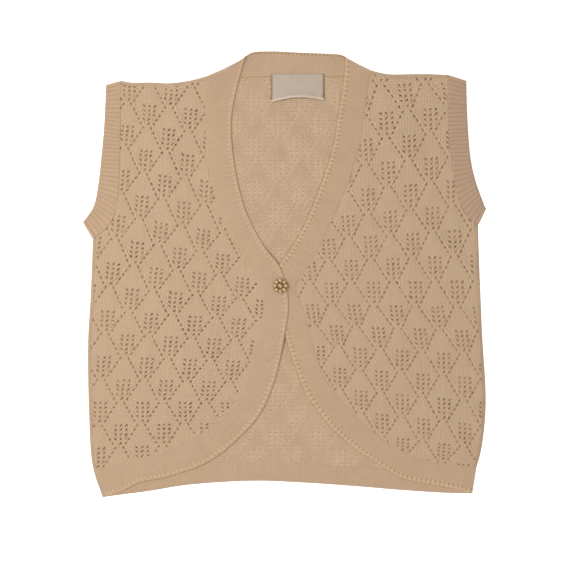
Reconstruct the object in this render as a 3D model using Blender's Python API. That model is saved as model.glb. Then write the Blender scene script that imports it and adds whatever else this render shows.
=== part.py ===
"""A sleeveless lace-knit cardigan, buttoned at one button and laid flat on its back.

The back lies on the ground plane z = 0 and the two fronts lie on it. +Y runs to the neck, -X is the
wearer's right and the opening edge of the right front lies over that of the left one. Plan sizes are in
millimetres from the middle of the garment, and every solid is a wall of cloth or a piece of the button.
"""

import math
from collections import namedtuple

import bmesh
import bpy
import numpy as np

MM = 0.001

# Thickness of the layers, in mm.
CLOTH = 2.0
GAP = 0.3
BACK_TOP = CLOTH
FRONT_BASE = BACK_TOP + GAP
LAP_RISE = CLOTH + GAP
RIB_DEPTH = 0.5
RIB_PITCH = 4.9
LABEL_THICKNESS = 1.0

Place = namedtuple("Place", "x y")
Section = namedtuple("Section", "edge_x edge_y seam_x seam_y")
Swell = namedtuple("Swell", "x y length width turn height")

# Shoulder lines, from the armband's opening edge to the neck.
RIGHT_SHOULDER = [
    Place(-214, 227),
    Place(-196, 232),
    Place(-185, 230),
    Place(-161, 230),
    Place(-140, 229),
    Place(-121, 231),
    Place(-106, 234),
    Place(-92, 238),
]
LEFT_SHOULDER = [
    Place(218, 232),
    Place(196, 239),
    Place(175, 240),
    Place(153, 240),
    Place(124, 240),
    Place(105, 244),
]

# Armholes: the armband's opening edge and the seam where it is sewn to the panels, shoulder to underarm.
RIGHT_ARM_EDGE = [
    Place(-214, 227),
    Place(-216.5, 175),
    Place(-219.5, 142),
    Place(-224, 103),
    Place(-229, 81),
    Place(-241.7, 62),
]
RIGHT_ARM_SEAM = [
    Place(-196, 232),
    Place(-197, 148),
    Place(-199, 96),
    Place(-204, 70),
    Place(-214, 54),
    Place(-230, 42),
]
LEFT_ARM_EDGE = [
    Place(218, 232),
    Place(219, 194),
    Place(223, 140),
    Place(229, 112),
    Place(241.2, 78),
]
LEFT_ARM_SEAM = [
    Place(196, 239),
    Place(196, 178),
    Place(201, 130),
    Place(208, 91),
    Place(216.5, 73),
    Place(232, 58),
]

# Side seams, from the underarm to the hem corner.
RIGHT_SIDE = [
    Place(-230, 42),
    Place(-232.6, -26),
    Place(-235.8, -84),
    Place(-234.6, -164),
    Place(-231.4, -222),
    Place(-227, -242),
    Place(-218, -267.6),
]
LEFT_SIDE = [
    Place(232, 58),
    Place(232.5, 40),
    Place(236.8, -68),
    Place(241.3, -158),
    Place(235.6, -212),
    Place(228, -240),
    Place(225, -263),
]
SIDE_HEM_ROW = 5

# Back hem band: a section across it at each place, from its free edge up to its seam.
HEM_BAND = [
    Section(-218, -267.6, -227, -242),
    Section(-199, -265, -201, -239),
    Section(-161, -260, -161, -234),
    Section(-125, -254, -125, -231),
    Section(-83, -250, -83, -227),
    Section(-30, -248, -30, -225),
    Section(19, -250, 19, -227),
    Section(79, -254, 79, -232),
    Section(139, -259, 139, -236),
    Section(193, -262.5, 193, -239),
    Section(225, -263, 228, -240),
]

# Back neck band, from the right shoulder to the left one.
NECK_BAND = [
    Section(-46, 262, -92, 238),
    Section(-39, 266, -63, 235),
    Section(-17, 267.5, -20, 236),
    Section(19, 266, 16, 236),
    Section(55, 264.5, 52, 236),
    Section(67, 263.5, 79, 237),
    Section(73, 261, 105, 244),
]

# Front bands, from the shoulder down the neckline, past the button and round to the side seam.
RIGHT_BAND = [
    Section(-46, 262, -92, 238),
    Section(-58, 218, -93, 207),
    Section(-63.5, 182, -94, 180),
    Section(-59, 128, -89, 120),
    Section(-46, 76, -73, 66),
    Section(-25, 35, -49, 19),
    Section(-5, 8, -32, -6),
    Section(5, -34, -25, -35),
    Section(0, -75, -30, -69),
    Section(-10, -122, -39, -111),
    Section(-27, -164, -53, -144),
    Section(-56, -198, -79, -174),
    Section(-93, -226, -107, -196),
    Section(-140, -243, -147, -214),
    Section(-173, -250, -179, -222),
    Section(-196, -261, -205, -229),
    Section(-218, -267.6, -229, -234),
]
LEFT_BAND = [
    Section(73, 261, 105, 244),
    Section(71, 232, 100, 225),
    Section(65, 196, 96, 193),
    Section(58, 153, 88, 147),
    Section(45, 112, 74, 103),
    Section(26, 64, 53, 56),
    Section(7, 30, 33, 16),
    Section(-9, 8, 17, -6),
    Section(-17, -15, 13, -17),
    Section(-11, -41, 20, -36),
    Section(-1, -70, 29, -63),
    Section(14, -116, 41, -108),
    Section(26, -144, 52, -131),
    Section(49, -176, 71, -154),
    Section(80, -206, 99, -183),
    Section(112, -228, 127, -205),
    Section(141, -245, 152, -218),
    Section(175, -252, 181, -226),
    Section(205, -258, 209, -230),
    Section(225, -263, 230, -232),
]
RIGHT_TURN = 10
LEFT_TURN = 13

# How far the shoulder seam sags below a straight line where the bands meet at the neck.
RIGHT_NECK_SAG = 4.2
LEFT_NECK_SAG = 3
SAG_FADE_ROWS = 3

# Soft swells of the fronts: middle, half length, half width, turn of the long side from +X, and height.
SWELLS = [
    Swell(-140, 150, 70, 24, 75, 1.6),
    Swell(-180, 20, 46, 14, 35, 1.8),
    Swell(-120, -70, 80, 30, 100, 1.8),
    Swell(-160, -180, 56, 20, 25, 1.5),
    Swell(140, 160, 66, 24, 105, 1.7),
    Swell(180, 40, 46, 14, 140, 1.9),
    Swell(130, -60, 84, 28, 80, 1.8),
    Swell(190, -170, 50, 18, 115, 1.6),
]

# The right front rises here to lie over the left band.
LAP_RISES_FROM_X = -53
LAP_FULL_FROM_X = -20
LAP_TOP_FULL_Y = 15
LAP_TOP_END_Y = 46
LAP_FOOT_FULL_Y = -78
LAP_FOOT_END_Y = -106

# Neck label, sewn over the neck band's seam at its upper edge and curling up along its lower one.
LABEL_LEFT = -16
LABEL_RIGHT = 47.5
LABEL_TOP = 240
LABEL_FOOT = 206
LABEL_SLANT = 2.4
LABEL_CURL = 4
LABEL_CORNER_CURL = 0.6
LABEL_ARCH = 4.5

# Button: a flower of pearls in a metal setting, whose shank passes the right band's buttonhole.
BUTTON_PLACE = Place(-5, -14)
PETALS = 8
SETTING_RADIUS = 8.2
SETTING_LOBE = 0.9
SETTING_THICKNESS = 1.3
SHANK_RADIUS = 1.5
PEARL_RING = 6.4
PEARL_RADIUS = 2.1
PEARL_SQUASH = 0.8
STONE_RADIUS = 2.5
STONE_HEIGHT = 2.2
SLOT_WIDTH = 3.8
SLOT_LENGTH = 12

ARM_ROWS = 15
SIDE_ROWS = 13
FRONT_COLUMNS = 10
NECK_COLUMNS = 9
BACK_COLUMNS = 17


def srgb(red, green, blue):
    """Linear colour of 8-bit screen values."""
    return [(value / 255) ** 2.2 for value in (red, green, blue)] + [1.0]


def finish(name, colour, roughness, metallic=0.0):
    """A plain material in one colour."""
    material = bpy.data.materials.new(name)
    material.use_nodes = True
    shader = material.node_tree.nodes["Principled BSDF"]
    shader.inputs["Base Color"].default_value = colour
    shader.inputs["Roughness"].default_value = roughness
    shader.inputs["Metallic"].default_value = metallic
    material.diffuse_color = colour
    return material


def through(places, count=240):
    """count points, evenly spaced along a smooth curve through the places (centripetal Catmull-Rom)."""
    knots = np.array(places, float)
    ends = np.vstack([2 * knots[0] - knots[1], knots, 2 * knots[-1] - knots[-2]])
    share = np.linspace(0, 1, 24, endpoint=False)[:, None]
    pieces = []
    for a, b, c, d in zip(ends, ends[1:], ends[2:], ends[3:]):
        times = np.cumsum([0] + [math.dist(p, q) ** 0.5 for p, q in ((a, b), (b, c), (c, d))])
        at = times[1] + share * (times[2] - times[1])
        first = [
            ((end - at) * p + (at - start) * q) / (end - start)
            for p, q, start, end in zip((a, b, c), (b, c, d), times, times[1:])
        ]
        second = [
            ((end - at) * p + (at - start) * q) / (end - start)
            for p, q, start, end in zip(first, first[1:], times, times[2:])
        ]
        pieces.append(
            ((times[2] - at) * second[0] + (at - times[1]) * second[1]) / (times[2] - times[1])
        )
    return at_shares(np.vstack(pieces + [knots[-1:]]), np.linspace(0, 1, count))


def at_shares(line, shares, trim=0.0):
    """Points of a polyline at shares of its length, which leaves out trim mm at each end."""
    reach = np.concatenate([[0], np.cumsum(np.linalg.norm(np.diff(line, axis=0), axis=1))])
    at = trim + (reach[-1] - 2 * trim) * np.asarray(shares)
    return np.column_stack([np.interp(at, reach, line[:, i]) for i in (0, 1)])


def edge_line(sections):
    """The sections' free edge as places."""
    return [Place(s.edge_x, s.edge_y) for s in sections]


def seam_line(sections):
    """The sections' seam as places."""
    return [Place(s.seam_x, s.seam_y) for s in sections]


def shared(steps):
    """A panel's stations along a seam, and those of the band beyond it: these, and their midpoints."""
    middles = (steps[1:] + steps[:-1]) / 2
    both = np.empty((len(steps) * 2 - 1, 2))
    both[::2], both[1::2] = steps, middles
    return both


def strip(sections, parts, across=4, sags=(0, 0)):
    """A band's plan grid, with a row for each station from its free edge to a gap short of its seam.

    parts holds (section to end at, panel stations) for each panel side that the band is sewn to. The
    second result is that side's list of seam stations, which the panel uses as its own edge. sags
    lowers the middle of the first and the last row.
    """
    edge, seam = through(edge_line(sections), 600), through(seam_line(sections), 600)
    edges, seams, first = [], [], (0, 0)
    for last, count in parts:
        end = sections[last]
        cut = (
            np.linalg.norm(edge - (end.edge_x, end.edge_y), axis=1).argmin(),
            np.linalg.norm(seam - (end.seam_x, end.seam_y), axis=1).argmin(),
        )
        seams.append(at_shares(seam[first[1] : cut[1] + 1], np.linspace(0, 1, count)))
        edges.append(at_shares(edge[first[0] : cut[0] + 1], np.linspace(0, 1, 2 * count - 1)))
        first = cut
    inner = np.vstack([shared(steps)[(k > 0) :] for k, steps in enumerate(seams)])
    outer = np.vstack([steps[(k > 0) :] for k, steps in enumerate(edges)])
    width = np.linalg.norm(inner - outer, axis=1)[:, None, None]
    share = np.linspace(0, 1, across)[None, :, None] * (1 - GAP / width)
    plan = outer[:, None] * (1 - share) + inner[:, None] * share
    bow = 4 * share[..., 0] * (1 - share[..., 0])
    steps = np.arange(len(plan))[:, None] / SAG_FADE_ROWS
    plan[..., 1] -= bow * (sags[0] * np.clip(1 - steps, 0, 1) + sags[1] * np.clip(1 - steps[::-1], 0, 1))
    return plan, seams


def patch(bottom, top, left, right):
    """Coons plan grid between four curves that share corners, with rows from bottom to top."""
    up = np.linspace(0, 1, len(left))[:, None, None]
    over = np.linspace(0, 1, len(bottom))[None, :, None]
    ruled = (1 - up) * bottom + up * top + (1 - over) * left[:, None] + over * right[:, None]
    corners = (1 - up) * ((1 - over) * bottom[0] + over * bottom[-1]) + up * (
        (1 - over) * top[0] + over * top[-1]
    )
    return ruled - corners


def ramp(value, start, end):
    """Smooth step from 0 at start to 1 at end."""
    share = np.clip((value - start) / (end - start), 0, 1)
    return share * share * (3 - 2 * share)


def swell_height(x, y):
    """Sum of the soft swells, each a round-topped mound that ends at its own rim."""
    height = np.zeros_like(x)
    for swell in SWELLS:
        turn = math.radians(swell.turn)
        along = (x - swell.x) * math.cos(turn) + (y - swell.y) * math.sin(turn)
        over = (y - swell.y) * math.cos(turn) - (x - swell.x) * math.sin(turn)
        reach = (along / swell.length) ** 2 + (over / swell.width) ** 2
        height += swell.height * np.clip(1 - reach / 2.2, 0, 1) ** 2
    return height


def lap_height(x, y):
    """How far the right front is lifted by the left band that it lies on."""
    return (
        LAP_RISE
        * ramp(x, LAP_RISES_FROM_X, LAP_FULL_FROM_X)
        * ramp(y, LAP_FOOT_END_Y, LAP_FOOT_FULL_Y)
        * ramp(y, LAP_TOP_END_Y, LAP_TOP_FULL_Y)
    )


def right_front_underside(plan):
    """Height of the right front's underside over the plan grid."""
    x, y = plan[..., 0], plan[..., 1]
    return FRONT_BASE + swell_height(x, y) + lap_height(x, y)


def left_front_underside(plan):
    """Height of the left front's underside over the plan grid."""
    return FRONT_BASE + swell_height(plan[..., 0], plan[..., 1])


def solid(name, points, faces, material, smooth=False):
    """One object from points in mm and faces, with its faces turned outwards."""
    mesh = bpy.data.meshes.new(name)
    mesh.from_pydata((np.asarray(points) * MM).tolist(), [], [list(f) for f in faces])
    shape = bmesh.new()
    shape.from_mesh(mesh)
    bmesh.ops.recalc_face_normals(shape, faces=shape.faces)
    shape.to_mesh(mesh)
    shape.free()
    mesh.materials.append(material)
    if smooth:
        mesh.shade_smooth()
    made = bpy.data.objects.new(name, mesh)
    bpy.context.scene.collection.objects.link(made)
    return made


def grid_faces(rows, columns):
    """Quads of a grid whose points are numbered along its rows."""
    first = (np.arange(rows - 1)[:, None] * columns + np.arange(columns - 1)[None, :]).ravel()
    return np.column_stack([first, first + 1, first + columns + 1, first + columns])


def rim_of(rows, columns):
    """The grid's border as one ring of point numbers."""
    index = np.arange(rows * columns).reshape(rows, columns)
    return np.concatenate([index[0], index[1:, -1], index[-1, -2::-1], index[-2:0:-1, 0]])


def wall(name, plan, underside, thickness, material):
    """A closed wall of cloth over a plan grid."""
    rows, columns = plan.shape[:2]
    lower = np.dstack([plan, underside]).reshape(-1, 3)
    upper = lower + (0, 0, thickness)
    over = grid_faces(rows, columns)
    rim = rim_of(rows, columns)
    sides = np.column_stack([rim, np.roll(rim, -1), np.roll(rim, -1), rim])
    sides[:, 2:] += len(lower)
    faces = np.vstack([over[:, ::-1], over + len(lower), sides])
    return solid(name, np.vstack([lower, upper]), faces, material)


def armhole(seam):
    """The armhole seam's stations, which come closer together towards the underarm."""
    return at_shares(through(seam), 1 - (1 - np.linspace(0, 1, ARM_ROWS)) ** 1.6)


def outer_side(arm_seam, side):
    """A panel's outer side: the armhole seam, then the side seam, from its lower end up."""
    return np.vstack([armhole(arm_seam), through(side, SIDE_ROWS)[1:]])[::-1]


def front_panel(name, arm_seam, side, shoulder, seams, underside, material):
    """A front's lace panel, between its armhole, side seam, shoulder and the front band's seam."""
    upper, lower = seams
    end = Place(*lower[-1])
    kept = [place for place in side if place.y > end.y + 6]
    outer = outer_side(arm_seam, kept + [end])
    top = through(shoulder[1:], FRONT_COLUMNS)
    plan = patch(lower[::-1], top, outer, upper[::-1])
    wall(name, plan, underside(plan), CLOTH, material)


def back_panel(neck_seam, hem_seam, material):
    """The back's lace panel, which lies on the ground."""
    right = outer_side(RIGHT_ARM_SEAM, RIGHT_SIDE[: SIDE_HEM_ROW + 1])
    left = outer_side(LEFT_ARM_SEAM, LEFT_SIDE[: SIDE_HEM_ROW + 1])
    side_columns = (BACK_COLUMNS - len(neck_seam)) // 2 + 1
    top = np.vstack(
        [
            through(RIGHT_SHOULDER[1:], side_columns)[:-1],
            neck_seam,
            through(LEFT_SHOULDER[1:], side_columns)[::-1][1:],
        ]
    )
    plan = patch(hem_seam, top, right, left)
    wall("back_panel", plan, np.zeros(plan.shape[:2]), CLOTH, material)


def arm_band(name, edge, seam, material):
    """An armband: a flattened loop of ribbed cloth, folded at the shoulder and at the underarm.

    Each station holds the band's opening edge and its seam edge on the outer and the inner face. The ribs
    run across the band and stand out of the front half's outer face; the back half rests flat.
    """
    outer_radius = CLOTH + GAP / 2
    inner_radius = GAP / 2
    opening_line = through(edge)
    seam_line_here = armhole(seam)
    length = np.linalg.norm(np.diff(opening_line, axis=0), axis=1).sum()
    front = 2 * round(length / RIB_PITCH) + 1
    back = 18
    fold = np.radians([45, 0, -45])

    def halves(count):
        share = np.linspace(0, 1, count)
        opening = at_shares(opening_line, share, trim=outer_radius)
        sewn = at_shares(seam_line_here, share, trim=outer_radius)
        width = np.linalg.norm(sewn - opening, axis=1)[:, None]
        return opening, sewn + (opening - sewn) * GAP / width

    def outwards(opening, sewn, neighbour):
        over = (sewn - opening) / np.linalg.norm(sewn - opening)
        out = np.array([-over[1], over[0]])
        return out if np.dot(out, opening - neighbour) > 0 else -out

    def station(opening, sewn, out, angle, valley=0.0):
        reach = [outer_radius - valley] * 2 + [inner_radius] * 2
        places = (opening, sewn, sewn, opening)
        return [
            (*(place + out * (r * math.cos(angle))), outer_radius + r * math.sin(angle))
            for place, r in zip(places, reach)
        ]

    opening, sewn = halves(front)
    shoulder_out = outwards(opening[0], sewn[0], opening[1])
    under_out = outwards(opening[-1], sewn[-1], opening[-2])
    up, down = math.pi / 2, -math.pi / 2
    stations = [
        station(opening[i], sewn[i], under_out, up, RIB_DEPTH * (i % 2)) for i in range(front)
    ]
    stations += [station(opening[-1], sewn[-1], under_out, angle) for angle in fold]
    opening, sewn = halves(back)
    stations += [station(opening[i], sewn[i], shoulder_out, down) for i in reversed(range(back))]
    stations += [station(opening[0], sewn[0], shoulder_out, angle) for angle in fold[::-1]]

    points = np.array(stations)
    count, around = points.shape[:2]
    here = np.arange(count)[:, None] * around + np.arange(around)[None, :]
    there = np.roll(here, -1, axis=0)
    faces = np.stack([here, np.roll(here, -1, axis=1), np.roll(there, -1, axis=1), there], axis=-1)
    solid(name, points.reshape(-1, 3), faces.reshape(-1, 4), material)


def neck_label(material):
    """The label: a thin plate whose free lower edge curls up and back, most in its middle."""
    columns, rows = 9, 6
    over, down = np.meshgrid(np.linspace(0, 1, columns), np.linspace(0, 1, rows))
    crown = np.sin(math.pi * over)
    foot = LABEL_FOOT + LABEL_SLANT * over + LABEL_ARCH * crown
    plan = np.dstack(
        [LABEL_LEFT + over * (LABEL_RIGHT - LABEL_LEFT), LABEL_TOP + down * (foot - LABEL_TOP)]
    )
    curl = LABEL_CORNER_CURL + (LABEL_CURL - LABEL_CORNER_CURL) * crown
    wall("neck_label", plan, FRONT_BASE + curl * down**3, LABEL_THICKNESS, material)


def buttonhole(band):
    """Cuts the slot that the shank passes, along the band under the button."""
    half = (SLOT_WIDTH / 2, SLOT_LENGTH / 2, 3 * CLOTH)
    corners = [(x, y, z) for x in (-1, 1) for y in (-1, 1) for z in (-1, 1)]
    middle = (*BUTTON_PLACE, FRONT_BASE + LAP_RISE + CLOTH / 2)
    points = [tuple(m + h * c for m, h, c in zip(middle, half, corner)) for corner in corners]
    faces = [(0, 1, 3, 2), (4, 6, 7, 5), (0, 4, 5, 1), (2, 3, 7, 6), (0, 2, 6, 4), (1, 5, 7, 3)]
    cutter = solid("buttonhole_cutter", points, faces, band.data.materials[0])
    cutter.hide_render = True
    cutter.display_type = "WIRE"
    cut = band.modifiers.new("buttonhole", "BOOLEAN")
    cut.operation = "DIFFERENCE"
    cut.object = cutter


def turned(name, rings, place, material, lobe=0.0, sides=32):
    """A solid of revolution from (radius, height) rings, closed by a point at each end.

    Where a lobe is given, rings wider than the shank bulge outwards once for each petal.
    """
    angle = np.linspace(0, 2 * math.pi, sides, endpoint=False)
    points = [(place.x, place.y, rings[0][1])]
    for radius, height in rings:
        bulge = lobe * np.cos(PETALS * angle) if radius > 2 * SHANK_RADIUS else 0 * angle
        reach = radius + bulge
        points += list(
            zip(place.x + reach * np.cos(angle), place.y + reach * np.sin(angle), 0 * angle + height)
        )
    points.append((place.x, place.y, rings[-1][1]))
    around = [(k, (k + 1) % sides) for k in range(sides)]
    faces = [(0, 1 + a, 1 + b) for a, b in around]
    for ring in range(len(rings) - 1):
        low, high = 1 + ring * sides, 1 + (ring + 1) * sides
        faces += [(low + a, low + b, high + b, high + a) for a, b in around]
    last = 1 + (len(rings) - 1) * sides
    faces += [(last + a, last + b, len(points) - 1) for a, b in around]
    solid(name, points, faces, material, smooth=True)


def ball(radius, foot, squash=1.0, rings=6):
    """Rings of a ball that stands on the height foot."""
    turns = [math.pi * (k / rings - 0.5) for k in range(1, rings)]
    return [(radius * math.cos(t), foot + squash * radius * (1 + math.sin(t))) for t in turns]


def button(metal, pearl, stone):
    """The setting with its shank, a ring of pearls and the stone in their middle."""
    shank_foot = FRONT_BASE + CLOTH + GAP
    plate_foot = FRONT_BASE + LAP_RISE + CLOTH + GAP
    plate_top = plate_foot + SETTING_THICKNESS
    rim = SETTING_RADIUS
    turned(
        "button_setting",
        [
            (SHANK_RADIUS, shank_foot),
            (SHANK_RADIUS, plate_foot),
            (rim - 0.3, plate_foot),
            (rim, plate_foot + 0.3),
            (rim, plate_top - 0.3),
            (rim - 0.4, plate_top),
        ],
        BUTTON_PLACE,
        metal,
        lobe=SETTING_LOBE,
        sides=4 * PETALS,
    )
    for k in range(PETALS):
        turn = 2 * math.pi * k / PETALS
        place = Place(
            BUTTON_PLACE.x + PEARL_RING * math.cos(turn),
            BUTTON_PLACE.y + PEARL_RING * math.sin(turn),
        )
        rings = ball(PEARL_RADIUS, plate_top + GAP, PEARL_SQUASH)
        turned(f"button_pearl_{k + 1}", rings, place, pearl, sides=12)
    rings = ball(STONE_RADIUS, plate_top + GAP, STONE_HEIGHT / STONE_RADIUS)
    turned("button_stone", rings, BUTTON_PLACE, stone, sides=12)


def build():
    """The whole garment."""
    for old in list(bpy.data.objects):
        bpy.data.objects.remove(old)
    lace = finish("lace_knit", srgb(195, 167, 138), 0.9)
    plain = finish("plain_knit", srgb(192, 162, 133), 0.9)
    ribbed = finish("rib_knit", srgb(190, 160, 132), 0.9)
    satin = finish("label_satin", srgb(190, 175, 155), 0.5)
    gold = finish("button_gold", srgb(176, 138, 72), 0.3, 1.0)
    pearl = finish("pearl", srgb(222, 205, 170), 0.25)
    stone = finish("stone", srgb(215, 195, 150), 0.15)

    hem, (hem_seam,) = strip(HEM_BAND, [(-1, BACK_COLUMNS)], across=3)
    wall("hem_band_back", hem, np.zeros(hem.shape[:2]), CLOTH, plain)
    sags = (RIGHT_NECK_SAG, LEFT_NECK_SAG)
    neck, (neck_seam,) = strip(NECK_BAND, [(-1, NECK_COLUMNS)], sags=sags)
    wall("neck_band_back", neck, np.zeros(neck.shape[:2]), CLOTH, plain)
    back_panel(neck_seam, hem_seam, lace)
    neck_label(satin)
    arm_band("arm_band_right", RIGHT_ARM_EDGE, RIGHT_ARM_SEAM, ribbed)
    arm_band("arm_band_left", LEFT_ARM_EDGE, LEFT_ARM_SEAM, ribbed)

    rows = ARM_ROWS + SIDE_ROWS - 1
    parts = [(LEFT_TURN, rows), (-1, FRONT_COLUMNS)]
    plan, seams = strip(LEFT_BAND, parts, sags=(LEFT_NECK_SAG, 0))
    wall("front_band_left", plan, left_front_underside(plan), CLOTH, plain)
    front_panel(
        "front_panel_left",
        LEFT_ARM_SEAM,
        LEFT_SIDE,
        LEFT_SHOULDER,
        seams,
        left_front_underside,
        lace,
    )
    parts = [(RIGHT_TURN, rows), (-1, FRONT_COLUMNS)]
    plan, seams = strip(RIGHT_BAND, parts, sags=(RIGHT_NECK_SAG, 0))
    band = wall("front_band_right", plan, right_front_underside(plan), CLOTH, plain)
    front_panel(
        "front_panel_right",
        RIGHT_ARM_SEAM,
        RIGHT_SIDE,
        RIGHT_SHOULDER,
        seams,
        right_front_underside,
        lace,
    )
    buttonhole(band)
    button(gold, pearl, stone)


build()
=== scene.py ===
"""The looks of a sleeveless lace cardigan with one pearl button, laid flat on its back.

Plan sizes are millimetres from the middle of the garment: +X is the wearer's left, +Y runs to the neck
and Z up. The lace sheets are worked cell by cell from a knitting chart, the bands are shells carried
along their seams, and the button is turned and set with pearls.
"""

from __future__ import annotations

import logging
import math
from collections.abc import Callable, Sequence
from dataclasses import dataclass, field, fields
from enum import Enum
from typing import NamedTuple

import bpy
import numpy as np
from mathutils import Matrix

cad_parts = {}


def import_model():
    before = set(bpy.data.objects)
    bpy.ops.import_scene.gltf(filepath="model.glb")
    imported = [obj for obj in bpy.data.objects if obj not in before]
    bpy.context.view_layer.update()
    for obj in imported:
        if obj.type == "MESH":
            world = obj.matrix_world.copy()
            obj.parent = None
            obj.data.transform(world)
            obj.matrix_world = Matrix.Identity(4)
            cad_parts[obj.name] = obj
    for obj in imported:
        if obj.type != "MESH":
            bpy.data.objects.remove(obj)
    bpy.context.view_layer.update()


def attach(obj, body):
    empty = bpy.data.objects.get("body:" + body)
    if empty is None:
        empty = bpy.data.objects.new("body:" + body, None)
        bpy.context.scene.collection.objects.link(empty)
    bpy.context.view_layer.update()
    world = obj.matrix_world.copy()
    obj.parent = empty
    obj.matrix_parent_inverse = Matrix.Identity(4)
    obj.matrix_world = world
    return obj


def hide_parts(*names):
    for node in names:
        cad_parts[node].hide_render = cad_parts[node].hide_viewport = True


MM = 0.001
NEARLY_NONE = 0.02
LOG = logging.getLogger("cardigan")

Array = np.ndarray
Material = bpy.types.Material
HeightOf = Callable[[Array, Array], Array]
Colour = tuple[float, float, float]
Petals = tuple[int, float, float] | None


class Side(Enum):
    """The wearer's side."""

    RIGHT = "right"
    LEFT = "left"


# ------------ plan tables, in mm


class Place(NamedTuple):
    """A point of the plan."""

    x: float
    y: float


def places(*pairs: tuple[float, float]) -> tuple[Place, ...]:
    """Points of the plan from their x and y."""
    return tuple(Place(x, y) for x, y in pairs)


class Section(NamedTuple):
    """A section across a band, from its free edge to its seam."""

    edge_x: float
    edge_y: float
    seam_x: float
    seam_y: float

    @property
    def edge(self) -> Place:
        """The free edge's point."""
        return Place(self.edge_x, self.edge_y)

    @property
    def seam(self) -> Place:
        """The seam's point."""
        return Place(self.seam_x, self.seam_y)


class Swell(NamedTuple):
    """A soft mound of cloth: its middle, half length, half width, turn from +X in degrees, and height."""

    x: float
    y: float
    length: float
    width: float
    turn: float
    height: float


class LatticeRow(NamedTuple):
    """Where a row of the lace's crossings lies: its number, one crossing, and the step to the next."""

    row: float
    x: float
    y: float
    step_x: float
    step_y: float


RIGHT_SHOULDER = places(
    (-214, 227), (-196, 232), (-185, 230), (-161, 230), (-140, 229), (-121, 231), (-106, 234),
    (-92, 238),
)
LEFT_SHOULDER = places((218, 232), (196, 239), (175, 240), (153, 240), (124, 240), (105, 244))
RIGHT_ARM_EDGE = places(
    (-214, 227), (-216.5, 175), (-219.5, 142), (-224, 103), (-229, 81), (-241.7, 62),
)
RIGHT_ARM_SEAM = places((-196, 232), (-197, 148), (-199, 96), (-204, 70), (-214, 54), (-230, 42))
LEFT_ARM_EDGE = places((218, 232), (219, 194), (223, 140), (229, 112), (241.2, 78))
LEFT_ARM_SEAM = places((196, 239), (196, 178), (201, 130), (208, 91), (216.5, 73), (232, 58))
RIGHT_SIDE = places(
    (-230, 42), (-232.6, -26), (-235.8, -84), (-234.6, -164), (-231.4, -222), (-227, -242),
    (-218, -267.6),
)
LEFT_SIDE = places(
    (232, 58), (232.5, 40), (236.8, -68), (241.3, -158), (235.6, -212), (228, -240), (225, -263),
)
HEM_BAND = (
    Section(-218, -267.6, -227, -242), Section(-199, -265, -201, -239), Section(-161, -260, -161, -234),
    Section(-125, -254, -125, -231), Section(-83, -250, -83, -227), Section(-30, -248, -30, -225),
    Section(19, -250, 19, -227), Section(79, -254, 79, -232), Section(139, -259, 139, -236),
    Section(193, -262.5, 193, -239), Section(225, -263, 228, -240),
)
NECK_BAND = (
    Section(-46, 262, -92, 238), Section(-39, 266, -63, 235), Section(-17, 267.5, -20, 236),
    Section(19, 266, 16, 236), Section(55, 264.5, 52, 236), Section(67, 263.5, 79, 237),
    Section(73, 261, 105, 244),
)
RIGHT_BAND = (
    Section(-46, 262, -92, 238), Section(-58, 218, -93, 207), Section(-63.5, 182, -94, 180),
    Section(-59, 128, -89, 120), Section(-46, 76, -73, 66), Section(-25, 35, -49, 19),
    Section(-5, 8, -32, -6), Section(5, -34, -25, -35), Section(0, -75, -30, -69),
    Section(-10, -122, -39, -111), Section(-27, -164, -53, -144), Section(-56, -198, -79, -174),
    Section(-93, -226, -107, -196), Section(-140, -243, -147, -214), Section(-173, -250, -179, -222),
    Section(-196, -261, -205, -229), Section(-218, -267.6, -229, -234),
)
LEFT_BAND = (
    Section(73, 261, 105, 244), Section(71, 232, 100, 225), Section(65, 196, 96, 193),
    Section(58, 153, 88, 147), Section(45, 112, 74, 103), Section(26, 64, 53, 56),
    Section(7, 30, 33, 16), Section(-9, 8, 17, -6), Section(-17, -15, 13, -17),
    Section(-11, -41, 20, -36), Section(-1, -70, 29, -63), Section(14, -116, 41, -108),
    Section(26, -144, 52, -131), Section(49, -176, 71, -154), Section(80, -206, 99, -183),
    Section(112, -228, 127, -205), Section(141, -245, 152, -218), Section(175, -252, 181, -226),
    Section(205, -258, 209, -230), Section(225, -263, 230, -232),
)
SWELLS = (
    Swell(-140, 150, 70, 24, 75, 1.6), Swell(-180, 20, 46, 14, 35, 1.8),
    Swell(-120, -70, 80, 30, 100, 1.8), Swell(-160, -180, 56, 20, 25, 1.5),
    Swell(140, 160, 66, 24, 105, 1.7), Swell(180, 40, 46, 14, 140, 1.9),
    Swell(130, -60, 84, 28, 80, 1.8), Swell(190, -170, 50, 18, 115, 1.6),
)
RIGHT_LATTICE = (
    LatticeRow(-4, -106.7, 276, 25.3, -2.7), LatticeRow(0, -113.4, 170.8, 24.7, -2.1),
    LatticeRow(4, -121.8, 56.7, 25.4, -4.3), LatticeRow(8, -132.7, -49.8, 26.2, -1.6),
    LatticeRow(12, -144.2, -154.7, 25.4, -0.1), LatticeRow(16, -144.1, -257.8, 26.8, 1.9),
)
LEFT_LATTICE = (
    LatticeRow(-3, 133.9, 289.9, 26.3, -2.3), LatticeRow(0, 148.7, 195.1, 26.6, 2.4),
    LatticeRow(4, 152.1, 76.6, 25.3, 2.5), LatticeRow(8, 158.5, -39, 25, -0.4),
    LatticeRow(10, 166.2, -94, 25.1, -1.4), LatticeRow(14, 167, -201, 24.7, -3.1),
    LatticeRow(17, 162.9, -264.7, 24.1, -2.9),
)
BACK_LATTICE = (LatticeRow(-3, -35.4, 270, -25.8, 0), LatticeRow(17, -35.4, -265, -25.8, 0))


# ------------ curves and heights


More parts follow.
